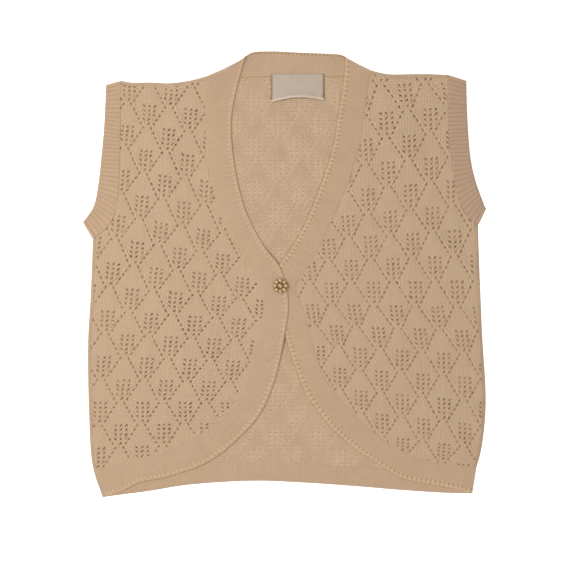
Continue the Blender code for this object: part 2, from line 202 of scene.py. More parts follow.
@dataclass(frozen=True)
class PlanCurve:
    """A smooth line of the plan, held as a fine polyline of (n, 2) points."""

    points: Array

    @classmethod
    def through(cls, places: Sequence[Place], per_span: int = 24) -> PlanCurve:
        """A curve through places: centripetal Catmull-Rom, each span blended from its four nearest places.

        Args:
            places: The points to pass through.
            per_span: Polyline steps between two places.

        Returns:
            The curve.
        """
        knots = np.array(places, float)
        ends = np.vstack([2 * knots[0] - knots[1], knots, 2 * knots[-1] - knots[-2]])
        share = np.linspace(0, 1, per_span, endpoint=False)[:, None]
        spans = []
        for four in zip(ends, ends[1:], ends[2:], ends[3:]):
            chords = [math.dist(p, q) ** 0.5 for p, q in zip(four, four[1:])]
            times = np.cumsum([0.0, *chords])
            at = times[1] + share * chords[1]
            level = list(four)
            for reach in (1, 2):
                level = [
                    ((times[k + reach] - at) * level[k] + (at - times[k]) * level[k + 1])
                    / (times[k + reach] - times[k])
                    for k in range(len(level) - 1)
                ]
            spans.append(((times[2] - at) * level[0] + (at - times[1]) * level[1]) / chords[1])
        return cls(np.vstack([*spans, knots[-1:]]))

    @property
    def reach(self) -> Array:
        """Distance along the curve at each of its points."""
        steps = np.linalg.norm(np.diff(self.points, axis=0), axis=1)
        return np.concatenate([[0.0], np.cumsum(steps)])

    @property
    def length(self) -> float:
        """The curve's length."""
        return float(self.reach[-1])

    def at(self, distance: Array) -> Array:
        """Points at distances along the curve."""
        reach = self.reach
        return np.column_stack([np.interp(distance, reach, self.points[:, k]) for k in (0, 1)])

    def evenly(self, count: int) -> Array:
        """count points at equal steps of length."""
        return self.at(np.linspace(0, self.length, count))

    def moved(self, left: float) -> PlanCurve:
        """The curve moved sideways, to the left of its direction."""
        along = np.gradient(self.points, axis=0)
        along /= np.linalg.norm(along, axis=1)[:, None]
        return PlanCurve(self.points + left * np.column_stack([-along[:, 1], along[:, 0]]))

    def turned(self) -> PlanCurve:
        """The same curve in the other direction."""
        return PlanCurve(self.points[::-1])


def ramp(value: Array, start: float, end: float) -> Array:
    """Smooth step from 0 at start to 1 at end: three times the share squared less twice its cube."""
    share = np.clip((value - start) / (end - start), 0, 1)
    return share * share * (3 - 2 * share)


def crowded(count: int, strength: float) -> Array:
    """Shares from 0 to 1 that crowd towards both ends: the cosine of even steps blended with even shares.

    Args:
        count: How many.
        strength: Share of the cosine.

    Returns:
        The shares.
    """
    turned = (1 - np.cos(np.linspace(0, math.pi, count))) / 2
    return strength * turned + (1 - strength) * np.linspace(0, 1, count)


def turns_left(near: Array, far: Array) -> bool:
    """Whether the line far lies to the left of the line near: by the cross product at their start."""
    along, over = near[1] - near[0], far[0] - near[0]
    return along[0] * over[1] - along[1] * over[0] > 0


@dataclass(frozen=True)
class Lay:
    """How the layers lie on each other, in mm of height."""

    cloth: float = 2.0
    gap: float = 0.3
    rises_from_x: float = -53
    full_from_x: float = -20
    top_full_y: float = 15
    top_end_y: float = 46
    foot_full_y: float = -78
    foot_end_y: float = -106
    swell_reach: float = 2.2

    @property
    def front(self) -> float:
        """Height of the fronts' underside, over the back."""
        return self.cloth + self.gap

    def swell(self, x: Array, y: Array) -> Array:
        """Sum of the swells, each the square of one less the elliptic distance from its middle."""
        height = np.zeros_like(x)
        for swell in SWELLS:
            turn = math.radians(swell.turn)
            along = (x - swell.x) * math.cos(turn) + (y - swell.y) * math.sin(turn)
            over = (y - swell.y) * math.cos(turn) - (x - swell.x) * math.sin(turn)
            reach = (along / swell.length) ** 2 + (over / swell.width) ** 2
            height += swell.height * np.clip(1 - reach / self.swell_reach, 0, 1) ** 2
        return height

    def back_middle(self, x: Array, y: Array) -> Array:
        """Mid height of the back's cloth."""
        return np.full_like(x, self.cloth / 2)

    def left_middle(self, x: Array, y: Array) -> Array:
        """Mid height of the left front's cloth."""
        return self.front + self.cloth / 2 + self.swell(x, y)

    def right_middle(self, x: Array, y: Array) -> Array:
        """Mid height of the right front's cloth, which rises over the left band."""
        over = ramp(x, self.rises_from_x, self.full_from_x)
        over = over * ramp(y, self.foot_end_y, self.foot_full_y)
        over = over * ramp(y, self.top_end_y, self.top_full_y)
        return self.left_middle(x, y) + (self.cloth + self.gap) * over


LAY = Lay()


# ------------ meshes


@dataclass
class Surface:
    """A closed surface of quads.

    Attributes:
        points: (n, 3) places in mm.
        quads: (m, 4) point numbers, counter-clockwise from outside.
        uv: (n, 2) pattern coordinates.
        slots: (m,) material numbers.
        extras: Further (n,) numbers that a finish reads, by name.
    """

    points: Array
    quads: Array
    uv: Array
    slots: Array
    extras: dict[str, Array] = field(default_factory=dict)

    @classmethod
    def joined(cls, parts: Sequence[Surface]) -> Surface:
        """Several surfaces as one."""
        starts = np.cumsum([0, *(len(part.points) for part in parts[:-1])])
        return cls(
            np.vstack([part.points for part in parts]),
            np.vstack([part.quads + start for part, start in zip(parts, starts)]),
            np.vstack([part.uv for part in parts]),
            np.concatenate([part.slots for part in parts]),
        )

    def piece(self, name: str, finishes: Sequence[Material], slot: str) -> bpy.types.Object:
        """Makes the surface an object of the garment.

        Args:
            name: The object's name.
            finishes: One material for each number in slots.
            slot: Not used.

        Returns:
            The object, riding on the garment.
        """
        mesh = bpy.data.meshes.new(name)
        mesh.vertices.add(len(self.points))
        mesh.vertices.foreach_set("co", (self.points * MM).astype(np.float32).ravel())
        mesh.loops.add(self.quads.size)
        mesh.loops.foreach_set("vertex_index", self.quads.astype(np.int32).ravel())
        mesh.polygons.add(len(self.quads))
        mesh.polygons.foreach_set("loop_start", np.arange(len(self.quads), dtype=np.int32) * 4)
        mesh.polygons.foreach_set("material_index", self.slots.astype(np.int32))
        layer = mesh.uv_layers.new(name="UVMap")
        layer.data.foreach_set("uv", self.uv[self.quads.ravel()].astype(np.float32).ravel())
        for key, numbers in self.extras.items():
            mesh.attributes.new(key, "FLOAT", "POINT").data.foreach_set(
                "value", numbers.astype(np.float32)
            )
        for material in finishes:
            mesh.materials.append(material)
        mesh.update(calc_edges=True)
        mesh.validate()
        mesh.shade_smooth()
        made = bpy.data.objects.new(name, mesh)
        bpy.context.scene.collection.objects.link(made)
        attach(made, "root")
        LOG.info("%s: %d quads", name, len(self.quads))
        return made


def shell(middle: Array, half: Array, quads: Array, uv: Array) -> Surface:
    """Closes a sheet into a wall: points go half the thickness up and down, and border edges get sides.

    Args:
        middle: (n, 3) points of the sheet's middle.
        half: (n,) half thickness.
        quads: (m, 4) faces, counter-clockwise from above.
        uv: (n, 2) pattern coordinates.

    Returns:
        The wall, with slot 0 above and on its rims, and slot 1 below.
    """
    count = len(middle)
    rise = np.column_stack([np.zeros((count, 2)), half])
    starts, ends = quads.ravel(), np.roll(quads, -1, axis=1).ravel()
    border = ~np.isin(starts * count + ends, ends * count + starts)
    a, b = starts[border], ends[border]
    sides = np.column_stack([b, a, a + count, b + count])
    return Surface(
        np.vstack([middle + rise, middle - rise]),
        np.vstack([quads, sides, quads[:, ::-1] + count]),
        np.vstack([uv, uv]),
        np.concatenate([np.zeros(len(quads) + len(sides), int), np.ones(len(quads), int)]),
    )


def tube(rings: Array, uv: Array, closed: bool) -> Surface:
    """Quads between the neighbours of a (stations, around, 3) array of closed rings.

    Args:
        rings: The rings' points, clockwise as seen from the first station towards the last.
        uv: (stations, around, 2) pattern coordinates.
        closed: True if the last ring joins the first one, False if both ends are capped.

    Returns:
        The surface.
    """
    stations, around = rings.shape[:2]
    index = np.arange(stations * around).reshape(stations, around)
    here = index if closed else index[:-1]
    there = np.roll(index, -1, axis=0)[: len(here)]
    quads = np.stack([here, there, np.roll(there, -1, 1), np.roll(here, -1, 1)], -1).reshape(-1, 4)
    if not closed:
        half = around // 2
        low = np.arange(half - 1)
        cap = np.column_stack([low, low + 1, around - 2 - low, around - 1 - low])
        caps = np.vstack([index[0][cap], index[-1][cap][:, ::-1]])
        quads = np.vstack([quads, caps])
    return Surface(rings.reshape(-1, 3), quads, uv.reshape(-1, 2), np.zeros(len(quads), int))


# ------------ shader maths


class Value:
    """A number socket that takes part in Python arithmetic."""

    def __init__(self, shader: Shader, socket: bpy.types.NodeSocket) -> None:
        """Keeps the socket and the material it belongs to."""
        self.shader = shader
        self.socket = socket

    def math(self, operation: str, *others: Value | float, first: bool = True) -> Value:
        """A Math node of this value and others.

        Args:
            operation: The node's operation.
            others: The other numbers.
            first: False to put this value second.

        Returns:
            The node's value.
        """
        terms = [self, *others] if first else [*others, self]
        sockets = dict(enumerate(terms))
        made = self.shader.node("ShaderNodeMath", {"operation": operation}, sockets)
        return Value(self.shader, made.outputs[0])

    def __add__(self, other: Value | float) -> Value:
        """Sum."""
        return self.math("ADD", other)

    def __radd__(self, other: float) -> Value:
        """Sum with a number."""
        return self.math("ADD", other)

    def __sub__(self, other: Value | float) -> Value:
        """Difference."""
        return self.math("SUBTRACT", other)

    def __rsub__(self, other: float) -> Value:
        """A number less this."""
        return self.math("SUBTRACT", other, first=False)

    def __mul__(self, other: Value | float) -> Value:
        """Product."""
        return self.math("MULTIPLY", other)

    def __rmul__(self, other: float) -> Value:
        """Product with a number."""
        return self.math("MULTIPLY", other)

    def __truediv__(self, other: Value | float) -> Value:
        """Quotient."""
        return self.math("DIVIDE", other)

    def __pow__(self, other: float) -> Value:
        """Power."""
        return self.math("POWER", other)

    def fraction(self) -> Value:
        """What is left above the whole number below."""
        return self.math("FRACT")

    def size(self) -> Value:
        """Absolute value."""
        return self.math("ABSOLUTE")

    def sine(self) -> Value:
        """Sine of radians."""
        return self.math("SINE")

    def cosine(self) -> Value:
        """Cosine of radians."""
        return self.math("COSINE")

    def least(self, floor: float) -> Value:
        """This value, or floor if that is more."""
        return self.math("MAXIMUM", floor)

    def step(self, start: float, end: float) -> Value:
        """Smooth step from 0 at start to 1 at end."""
        settings = {"interpolation_type": "SMOOTHSTEP"}
        sockets = {"Value": self, "From Min": start, "From Max": end}
        made = self.shader.node("ShaderNodeMapRange", settings, sockets)
        return Value(self.shader, made.outputs["Result"])


class Shader:
    """A material with its node tree."""

    def __init__(self, name: str) -> None:
        """Makes an empty material that ends in a Principled BSDF."""
        self.material = bpy.data.materials.new(name)
        self.material.use_nodes = True
        self.tree = self.material.node_tree
        self.surface = self.tree.nodes["Principled BSDF"]

    def node(self, kind: str, settings: dict | None = None, sockets: dict | None = None) -> bpy.types.Node:
        """Adds a node.

        Args:
            kind: The node's type.
            settings: Properties, set first.
            sockets: Values or links by socket name or number.

        Returns:
            The node.
        """
        made = self.tree.nodes.new(kind)
        for key, setting in (settings or {}).items():
            setattr(made, key, setting)
        for key, wanted in (sockets or {}).items():
            self.feed(made.inputs[key], wanted)
        return made

    def feed(self, socket: bpy.types.NodeSocket, wanted: object) -> None:
        """Links a socket to a Value or another socket, or sets its number or colour."""
        if isinstance(wanted, Value):
            wanted = wanted.socket
        if isinstance(wanted, bpy.types.NodeSocket):
            self.tree.links.new(wanted, socket)
        elif isinstance(wanted, tuple) and len(wanted) == 3 and socket.type == "RGBA":
            socket.default_value = (*wanted, 1.0)
        else:
            socket.default_value = wanted

    def uv(self) -> tuple[Value, Value]:
        """The piece's own pattern coordinates."""
        source = self.node("ShaderNodeUVMap", {"uv_map": "UVMap"})
        parts = self.node("ShaderNodeSeparateXYZ", None, {0: source.outputs[0]})
        return Value(self, parts.outputs[0]), Value(self, parts.outputs[1])

    def place(self) -> bpy.types.NodeSocket:
        """Object coordinates, in metres."""
        return self.node("ShaderNodeTexCoord").outputs["Object"]

    def noise(self, scale: float, detail: float = 3.0, roughness: float = 0.55) -> Value:
        """Noise on Object coordinates, from 0 to 1.

        Args:
            scale: Cells to a metre.
            detail: Octaves.
            roughness: Strength of the finer octaves.

        Returns:
            The noise.
        """
        sockets = {"Vector": self.place(), "Scale": scale, "Detail": detail, "Roughness": roughness}
        made = self.node("ShaderNodeTexNoise", None, sockets)
        return Value(self, made.outputs["Fac"])

    def attribute(self, name: str) -> Value:
        """A number kept on the mesh's points."""
        source = self.node("ShaderNodeAttribute", {"attribute_name": name})
        return Value(self, source.outputs["Fac"])

    def pattern_noise(self, x: Value, y: Value) -> Value:
        """Noise on two numbers, about one cell to a unit."""
        place = self.node("ShaderNodeCombineXYZ", None, {0: x, 1: y})
        sockets = {"Vector": place.outputs[0], "Scale": 1.0, "Detail": 1.0}
        return Value(self, self.node("ShaderNodeTexNoise", None, sockets).outputs["Fac"])

    def mix(self, share: Value, low: object, high: object) -> bpy.types.NodeSocket:
        """A colour between low and high."""
        sockets = {0: share, 6: low, 7: high}
        made = self.node("ShaderNodeMix", {"data_type": "RGBA", "clamp_factor": False}, sockets)
        return made.outputs[2]

    def bump(self, height: Value, depth: float, strength: float = 1.0) -> bpy.types.NodeSocket:
        """A bumped normal; depth is in metres."""
        sockets = {"Height": height, "Distance": depth, "Strength": strength}
        return self.node("ShaderNodeBump", None, sockets).outputs["Normal"]

    def principled(self, **sockets: object) -> Material:
        """Sets the surface's sockets, named with _ for a space, and returns the material."""
        for key, wanted in sockets.items():
            self.feed(self.surface.inputs[key.replace("_", " ")], wanted)
        return self.material


def linear(red: float, green: float, blue: float) -> Colour:
    """Linear colour of 8-bit screen values."""
    return tuple((value / 255) ** 2.2 for value in (red, green, blue))


def scaled(colour: Colour, share: float) -> Colour:
    """A colour made lighter or darker."""
    return tuple(part * share for part in colour)


def painted_shade_colour(colour: Colour, shares: Colour = (0.56, 0.37, 0.21)) -> Colour:
    """The warm dark of yarn in shade, mixed in as painted shade: red falls least and blue most."""
    return tuple(part * share for part, share in zip(colour, shares))


class Stitch(Enum):
    """The relief that a knit shows."""

    KNIT = "knit"
    PURL = "purl"
    PLY = "ply"


@dataclass(frozen=True)
class EdgeMarks:
    """A row of small marks along a band, in mm.

    Attributes:
        start: Distance from the free edge.
        length: Of a mark, across the band.
        width: Of a mark, along the band.
        pitch: From mark to mark.
        depth: Of the dent.
        dark: How much painted shade darkens its dent.
        slant: How far along a mark runs for each mm across.
    """

    start: float
    length: float
    width: float
    pitch: float
    depth: float = 0.8
    dark: float = 0.4
    slant: float = 0.0


@dataclass(frozen=True)
class KnitFinish:
    """Yarn worked in plain stitches.

    Attributes:
        wale: Pattern units to one stitch across.
        course: Pattern units to one stitch up.
        valley: How much painted shade darkens the gaps between stitches.
        painted_rim_shade: How much painted shade darkens the eyelets' rims; below 0 it paints light there
            instead.
        see_through_light: How much painted light brightens the thin cloth between many eyelets, where the
            floor shows through.
    """

    name: str
    colour: Colour
    stitch: Stitch = Stitch.KNIT
    wale: float = 1.0
    course: float = 1.0
    depth: float = 0.0005
    valley: float = 0.12
    patchy: float = 0.6
    streaks: float = 0.12
    mottle: float = 0.12
    # rib: strength of the painted shade in the ribs' valleys.
    rib: float = 0.0
    painted_rim_shade: float = 0.0
    see_through_light: float = 0.0
    # edging: strength of the painted highlight along a band's rolled free edge; edge_highlight_width is
    # its width.
    edging: float = 0.0
    edge_highlight_width: float = 5.5
    # seam: strength of the painted shade along the seam's crease, darker at its stitch holes.
    seam: float = 0.0
    seam_inset: float = 2.0
    seam_stitch: float = 4.2
    marks: tuple[EdgeMarks, ...] = ()
    spread: float = 0.14
    patches: float = 34.0
    clouds: tuple[tuple[float, float], ...] = ((60.0, 0.55), (480.0, 0.45))
    fibres: float = 2600.0
    fuzz: float = 0.25

    def stitch_height(self, across: Value, up: Value) -> Value:
        """Height of a stitch from 0 to 1.

        A knit stitch is a pair of legs that lean apart: the sine of a phase that falls with the distance
        from the wale's middle, times a fall to nothing at the wale's border. A purl stitch is a row of
        arcs: the same sine with a phase that waves along the row. A ply is a sine of both coordinates.

        Args:
            across: Stitches across.
            up: Stitches up.

        Returns:
            The height.
        """
        leg_lean, arc_wave, leg_fullness, arc_fullness = 0.8, 0.22, 0.6, 0.8
        if self.stitch is Stitch.KNIT:
            leg = (across.fraction() * 2 - 1).size()
            phase = (up - leg * leg_lean).fraction()
            return (phase * math.pi).sine().least(0.001) ** leg_fullness * (1 - leg**5)
        if self.stitch is Stitch.PURL:
            phase = (up + (across * (2 * math.pi)).cosine() * arc_wave).fraction()
            return (phase * math.pi).sine().least(0.001) ** arc_fullness
        return ((across + up) * math.pi).sine().size()

    def mark_mask(self, along: Value, over: Value) -> Value:
        """The edge marks' painted shade: each row's own share on its marks and 0 off them.

        Args:
            along: Distance along the band, in mm.
            over: Distance from its free edge, in mm.

        Returns:
            The painted shade's share.
        """
        mask = along * 0
        for row in self.marks:
            place = (along - over * row.slant) / row.pitch
            beside = (place.fraction() - 0.5).size() * row.pitch
            inner = (over - (row.start + row.length / 2)).size()
            one = (1 - beside.step(row.width * 0.25, row.width * 0.7)) * row.dark
            mask = mask + one * (1 - inner.step(row.length * 0.35, row.length * 0.6))
        return mask

    def tone(self, shader: Shader, across: Value, up: Value, over: Value) -> Value:
        """Lightness about 0.5: a cloudy mottle and streaks of wales, with a painted highlight along a
        band's edging and painted light on the thin cloth between eyelets.

        Args:
            shader: The material.
            across: Stitches across.
            up: Stitches up.
            over: Distance from a band's free edge, in mm.

        Returns:
            The lightness.
        """
        (coarse, coarse_share), (fine, fine_share) = self.clouds
        cloudy = shader.noise(coarse, 4.0) * coarse_share + shader.noise(fine, 2.0) * fine_share - 0.5
        streak = shader.pattern_noise(across * 0.9, up * 0.035) - 0.5
        tone = cloudy * (self.mottle * 4) + streak * (self.streaks * 3) + 0.5
        # Painted highlight along the band's rolled, raised free edge.
        if self.edging:
            far = over.step(self.edge_highlight_width - 0.9, self.edge_highlight_width + 0.9)
            tone = tone + over.step(-0.8, 1.0) * (1 - far) * self.edging
        # Painted light where the cloth between eyelets is thin and the floor shows through.
        if self.see_through_light:
            tone = tone + shader.attribute("open") * self.see_through_light
        return tone

    def painted_shade_share(self, shader: Shader, height: Value, along: Value, over: Value) -> Value:
        """Share of painted shade: in the gaps between stitches, the ribs' valleys, the edge marks' dents,
        the seam's crease and the eyelets' rims.

        Args:
            shader: The material.
            height: The stitches' height.
            along: The first pattern coordinate.
            over: The second one.

        Returns:
            The share.
        """
        # Painted shade in the gaps between stitches, stronger in patches.
        patch = shader.noise(self.patches, 2.0).step(0.38, 0.62)
        dark = (1 - height) * (patch * self.patchy + (1 - self.patchy)) * self.valley
        # Painted shade in the ribs' valleys.
        if self.rib:
            ridge = 0.5 - ((along - 0.25) * (2 * math.pi)).cosine() * 0.5
            dark = dark + ridge**3 * self.rib
        # Painted shade in the edge marks' dents.
        if self.marks:
            dark = dark + self.mark_mask(along, over)
        # Painted shade along the seam's crease, darker at its stitch holes.
        if self.seam:
            stitches = (along * (math.pi / self.seam_stitch)).sine().size().step(0.2, 0.7)
            off_line = (shader.attribute("to_seam") - self.seam_inset).size()
            dark = dark + (1 - off_line.step(0.3, 1.0)) * (stitches * 0.7 + 0.3) * self.seam
        # Painted shade on the eyelets' rims; a share below 0 paints light there instead.
        if self.painted_rim_shade:
            dark = dark + shader.attribute("deep") * self.painted_rim_shade
        return dark

    def material(self) -> Material:
        """The yarn's colour in its tones, mixed towards painted shade where shade falls, over the
        stitches' relief.
        """
        shader = Shader(self.name)
        along, over = shader.uv()
        across, up = along / self.wale, over / self.course
        height = self.stitch_height(across, up)
        light, dim = scaled(self.colour, 1 + self.spread), scaled(self.colour, 1 - self.spread)
        cloth = shader.mix(self.tone(shader, across, up, over), dim, light)
        return shader.principled(
            Base_Color=shader.mix(
                self.painted_shade_share(shader, height, along, over), cloth, painted_shade_colour(self.colour)
            ),
            Roughness=0.92,
            Normal=shader.bump(height + shader.noise(self.fibres, 2.0) * self.fuzz, self.depth),
            Sheen_Weight=0.05,
            Sheen_Roughness=0.5,
            Sheen_Tint=(1.0, 0.85, 0.7, 1.0),
            Specular_IOR_Level=0.1,
        )


@dataclass(frozen=True)
class SatinFinish:
    """A woven satin tape, plain, with fine ribs across."""

    name: str
    colour: Colour
    width: float
    weft: float = 0.9
    warp: float = 0.7
    # foot: width of the painted highlight along the curled-up foot; hem: width of the painted shadow along
    # each side.
    foot: float = 2.4
    hem: float = 1.7

    def material(self) -> Material:
        """Fine weft ribs and a slight mottle under a soft shine, with a painted highlight along the
        curled-up foot and painted shadow along both sides.
        """
        shader = Shader(self.name)
        along, over = shader.uv()
        weft = (over * (2 * math.pi / self.weft)).sine()
        warp = (along * (2 * math.pi / self.warp)).sine()
        cloth = shader.mix(shader.noise(120.0), scaled(self.colour, 0.9), scaled(self.colour, 1.08))
        # Painted highlight where the foot curls up towards the light.
        foot = 1 - over.step(self.foot - 0.8, self.foot + 0.8)
        # Painted shadow along both sides, where the tape stands off the back.
        rim = self.width / 2 - self.hem
        side = (along - self.width / 2).size().step(rim - 0.9, rim + 0.9)
        tape = shader.mix(foot * 0.7, cloth, scaled(self.colour, 1.45))
        return shader.principled(
            Base_Color=shader.mix(side * (1 - foot) * 0.9, tape, painted_shade_colour(self.colour)),
            Roughness=0.5,
            Normal=shader.bump(weft * 0.5 + warp * 0.2, 0.00008),
            Sheen_Weight=0.2,
            Specular_IOR_Level=0.4,
        )


@dataclass(frozen=True)
class MetalFinish:
    """Yellow metal with a slight tarnish."""

    name: str
    colour: Colour
    tarnish: Colour

    def material(self) -> Material:
        """Clean metal mixed with tarnish by a fine noise, which is rougher too."""
        shader = Shader(self.name)
        spots = shader.noise(900.0, 3.0).step(0.45, 0.75)
        return shader.principled(
            Base_Color=shader.mix(spots, self.colour, self.tarnish),
            Metallic=1.0,
            Roughness=spots * 0.25 + 0.25,
        )


@dataclass(frozen=True)
class GlossFinish:
    """A glossy bead: pearl or stone."""

    name: str
    colour: Colour
    deep: Colour
    roughness: float
    coat: float

    def material(self) -> Material:
        """The bead's colour, deeper in clouds, under a clear coat."""
        shader = Shader(self.name)
        return shader.principled(
            Base_Color=shader.mix(shader.noise(500.0, 2.0), self.colour, self.deep),
            Roughness=self.roughness,
            Coat_Weight=self.coat,
            Coat_Roughness=0.1,
            Specular_IOR_Level=0.5,
        )


LACE_CLOTH = linear(201, 172, 142)
BAND_CLOTH = linear(196, 166, 137)
# A darker copy of the band cloth: painted shade for the left armband, which gets less light.
SHADED_RIB_CLOTH = linear(189, 159, 134)
# Edge marks: dents along a band's edge, each darkened with painted shade.
EDGE_DASHES = (EdgeMarks(1.4, 5.0, 1.6, 5.3, depth=0.5, dark=0.26, slant=0.35),)
EDGE_DOTS = (
    EdgeMarks(0.2, 1.5, 1.7, 5.4, depth=0.4, dark=0.3),
    EdgeMarks(2.8, 3.4, 1.8, 5.4, depth=0.6, dark=0.55),
)
NECK_DOTS = (EdgeMarks(1.4, 1.8, 1.6, 4.5, depth=0.6, dark=0.75),)


@dataclass
class Finishes:
    """Every finish of the garment."""

    lace: Material = field(init=False)
    lace_inside: Material = field(init=False)
    strand: Material = field(init=False)
    stem: Material = field(init=False)
    plain: Material = field(init=False)
    neck_band: Material = field(init=False)
    front_band: dict[Side, Material] = field(init=False)
    side_fold: dict[Side, Material] = field(init=False)
    rib: dict[Side, Material] = field(init=False)
    satin: Material = field(init=False)
    gold: Material = field(init=False)
    pearl: Material = field(init=False)
    stone: Material = field(init=False)

    def __post_init__(self) -> None:
        """Makes the materials."""
        self.knit_lace()
        self.knit_bands()
        self.satin = SatinFinish("label_satin", linear(183, 167, 150), 63.5).material()
        self.gold = MetalFinish("button_gold", linear(186, 146, 90), linear(120, 86, 48)).material()
        self.pearl = GlossFinish(
            "pearl", linear(212, 184, 146), linear(180, 146, 104), 0.22, 0.6
        ).material()
        self.stone = GlossFinish(
            "stone", linear(222, 196, 150), linear(150, 112, 66), 0.1, 0.9
        ).material()

    def knit_lace(self) -> None:
        """Makes the lace's materials."""
        self.lace = KnitFinish(
            "lace_outside", LACE_CLOTH, valley=0.13, streaks=0.06, mottle=0.17, painted_rim_shade=0.7
        ).material()
        self.lace_inside = KnitFinish(
            "lace_inside",
            scaled(LACE_CLOTH, 0.92),
            Stitch.PURL,
            valley=0.2,
            mottle=0.24,
            see_through_light=0.3,
            painted_rim_shade=-0.25,
        ).material()
        # The raised strands and standing stems are painted lighter: a painted highlight on their lit tops.
        self.strand, self.stem = (
            KnitFinish(
                name, scaled(LACE_CLOTH, painted_highlight), Stitch.PLY, depth=0.0002, streaks=0.0
            ).material()
            for name, painted_highlight in (("lace_strand", 1.24), ("lace_stem", 1.12))
        )

    def knit_bands(self) -> None:
        """Makes the materials of the bands, the folds and the armbands."""
        fine = {"wale": 2.4, "course": 1.5, "depth": 0.0003, "valley": 0.14, "patchy": 0.8}
        ribbed = {"wale": 0.5, "course": 1.5, "depth": 0.0003, "valley": 0.08, "rib": 0.2}
        self.plain = KnitFinish("band_plain", BAND_CLOTH, **fine).material()
        self.neck_band = KnitFinish(
            "band_neck", BAND_CLOTH, marks=NECK_DOTS, seam=0.5, **fine
        ).material()
        self.front_band = {
            side: KnitFinish(name, BAND_CLOTH, marks=marks, edging=0.5, **fine).material()
            for side, name, marks in (
                (Side.RIGHT, "band_dashed", EDGE_DASHES),
                (Side.LEFT, "band_dotted", EDGE_DOTS),
            )
        }
        shaded = KnitFinish("side_fold_shaded", scaled(BAND_CLOTH, 0.86), **fine).material()
        self.side_fold = {Side.RIGHT: self.plain, Side.LEFT: shaded}
        # The left armband wears the painted-shade copy of the band cloth.
        self.rib = {
            side: KnitFinish(f"rib_knit_{side.value}", cloth, **ribbed).material()
            for side, cloth in ((Side.RIGHT, BAND_CLOTH), (Side.LEFT, SHADED_RIB_CLOTH))
        }


# ------------ lace


EYELETS = ["/", "\\"]
STRAND_SHARES = np.array([-1.0, -0.6, 0.0, 0.6, 1.0])


@dataclass(frozen=True)
class LaceChart:
    """The lace's knitting chart, a half repeat that drops: each next one starts half the wales across.

    / and \\ are eyelets that lean right and left, ^ is a raised decrease, | a standing stitch and . plain.
    """

    rows: tuple[str, ...] = (
        r"|\^...\^/^/..^/.",
        r"|.\^..\^/^/.^/..",
        r"|..\^.\^/^/^/...",
        r"|...\^\^/^//....",
        r"|....\^./^/.....",
    )

    @property
    def wales(self) -> int:
        """Stitches across the repeat."""
        return len(self.rows[0])

    @property
    def drop(self) -> int:
        """Rows of the half repeat."""
        return len(self.rows)

    def column(self, wale: Array, row: Array) -> Array:
        """The chart's column for each cell."""
        return (wale + row // self.drop * (self.wales // 2)) % self.wales

    def marks(self, wale: Array, row: Array) -> Array:
        """The chart's sign for each cell; wale and row are whole numbers of any size."""
        chart = np.array([list(line) for line in self.rows])
        return chart[row % self.drop, self.column(wale, row)]

    def on_lattice(self, wale: Array, row: Array) -> Array:
        """Whether a cell is on the diamonds' edges, which move one wale a row from each crossing."""
        column, line = self.column(wale, row), row % self.drop
        return (column == line + 1) | (column == self.wales - 2 - line)


@dataclass(frozen=True)
class Lattice:
    """Carries stitch coordinates to the plan, along a short table of rows of crossings."""

    rows: Sequence[LatticeRow]
    chart: LaceChart

    def plan(self, wale: Array, row: Array) -> Array:
        """Each crossing row's place plus the step per half repeat times the wales, interpolated by row."""
        table = np.array(self.rows, float)
        halves = wale / (self.chart.wales / 2)
        drops = row / self.chart.drop
        x, y, step_x, step_y = (np.interp(drops, table[:, 0], table[:, k]) for k in range(1, 5))
        return np.stack([x + step_x * halves, y + step_y * halves], -1)


def inside(points: Array, border: Array) -> Array:
    """Whether points lie within a closed line: an odd number of its edges pass to their right."""
    x, y = points[:, 0, None], points[:, 1, None]
    x0, y0 = border[None, :, 0], border[None, :, 1]
    x1, y1 = np.roll(border, -1, 0)[None, :, 0], np.roll(border, -1, 0)[None, :, 1]
    spans = (y0 > y) != (y1 > y)
    with np.errstate(divide="ignore", invalid="ignore"):
        crossing = x0 + (y - y0) * (x1 - x0) / (y1 - y0)
    return (spans & (x < crossing)).sum(axis=1) % 2 == 1


def nearest_on(points: Array, border: Array) -> Array:
    """The nearest place of a closed line to each point: the foot on each edge, and the closest of them."""
    start, run = border, np.roll(border, -1, 0) - border
    along = np.einsum("pek,ek->pe", points[:, None] - start[None], run)
    share = np.clip(along / np.maximum((run**2).sum(1), 1e-9)[None], 0, 1)
    feet = start[None] + share[..., None] * run[None]
    best = ((feet - points[:, None]) ** 2).sum(-1).argmin(1)
    return feet[np.arange(len(points)), best]


@dataclass(frozen=True)
class Cells:
    """The cells that cover a sheet.

    Attributes:
        wales: Numbers of the wales across.
        rows: Numbers of the rows along.
        kept: (wales, rows) whether a cell is worked.
        signs: (wales, rows) its sign in the chart.
        free: (wales, rows) how far it stands from the border: from 0 at it to 1 a cell or two in.
    """

    wales: Array
    rows: Array
    kept: Array
    signs: Array
    free: Array

    @property
    def open(self) -> Array:
        """Which worked cells hold an eyelet."""
        return self.kept & np.isin(self.signs, EYELETS)


@dataclass(frozen=True)
class Stitches:
    """Points of a sheet in stitch coordinates, with what each one carries.

    Attributes:
        at: (n, 2) wale and row.
        level: (n,) relief, in mm.
        half: (n,) share of the cloth's half thickness.
        free: (n,) how far it stands from the border, from 0 to 1.
        airy: (n,) how many eyelets are about it.
    """

    at: Array
    level: Array
    half: Array
    free: Array
    airy: Array

    @classmethod
    def joined(cls, parts: Sequence[Stitches]) -> Stitches:
        """Several sets of points as one."""
        return cls(*(np.concatenate([getattr(part, key.name) for part in parts]) for key in fields(cls)))

    def taken(self, numbers: Array) -> Stitches:
        """The points of the given numbers."""
        return Stitches(*(getattr(self, key.name)[numbers] for key in fields(self)))


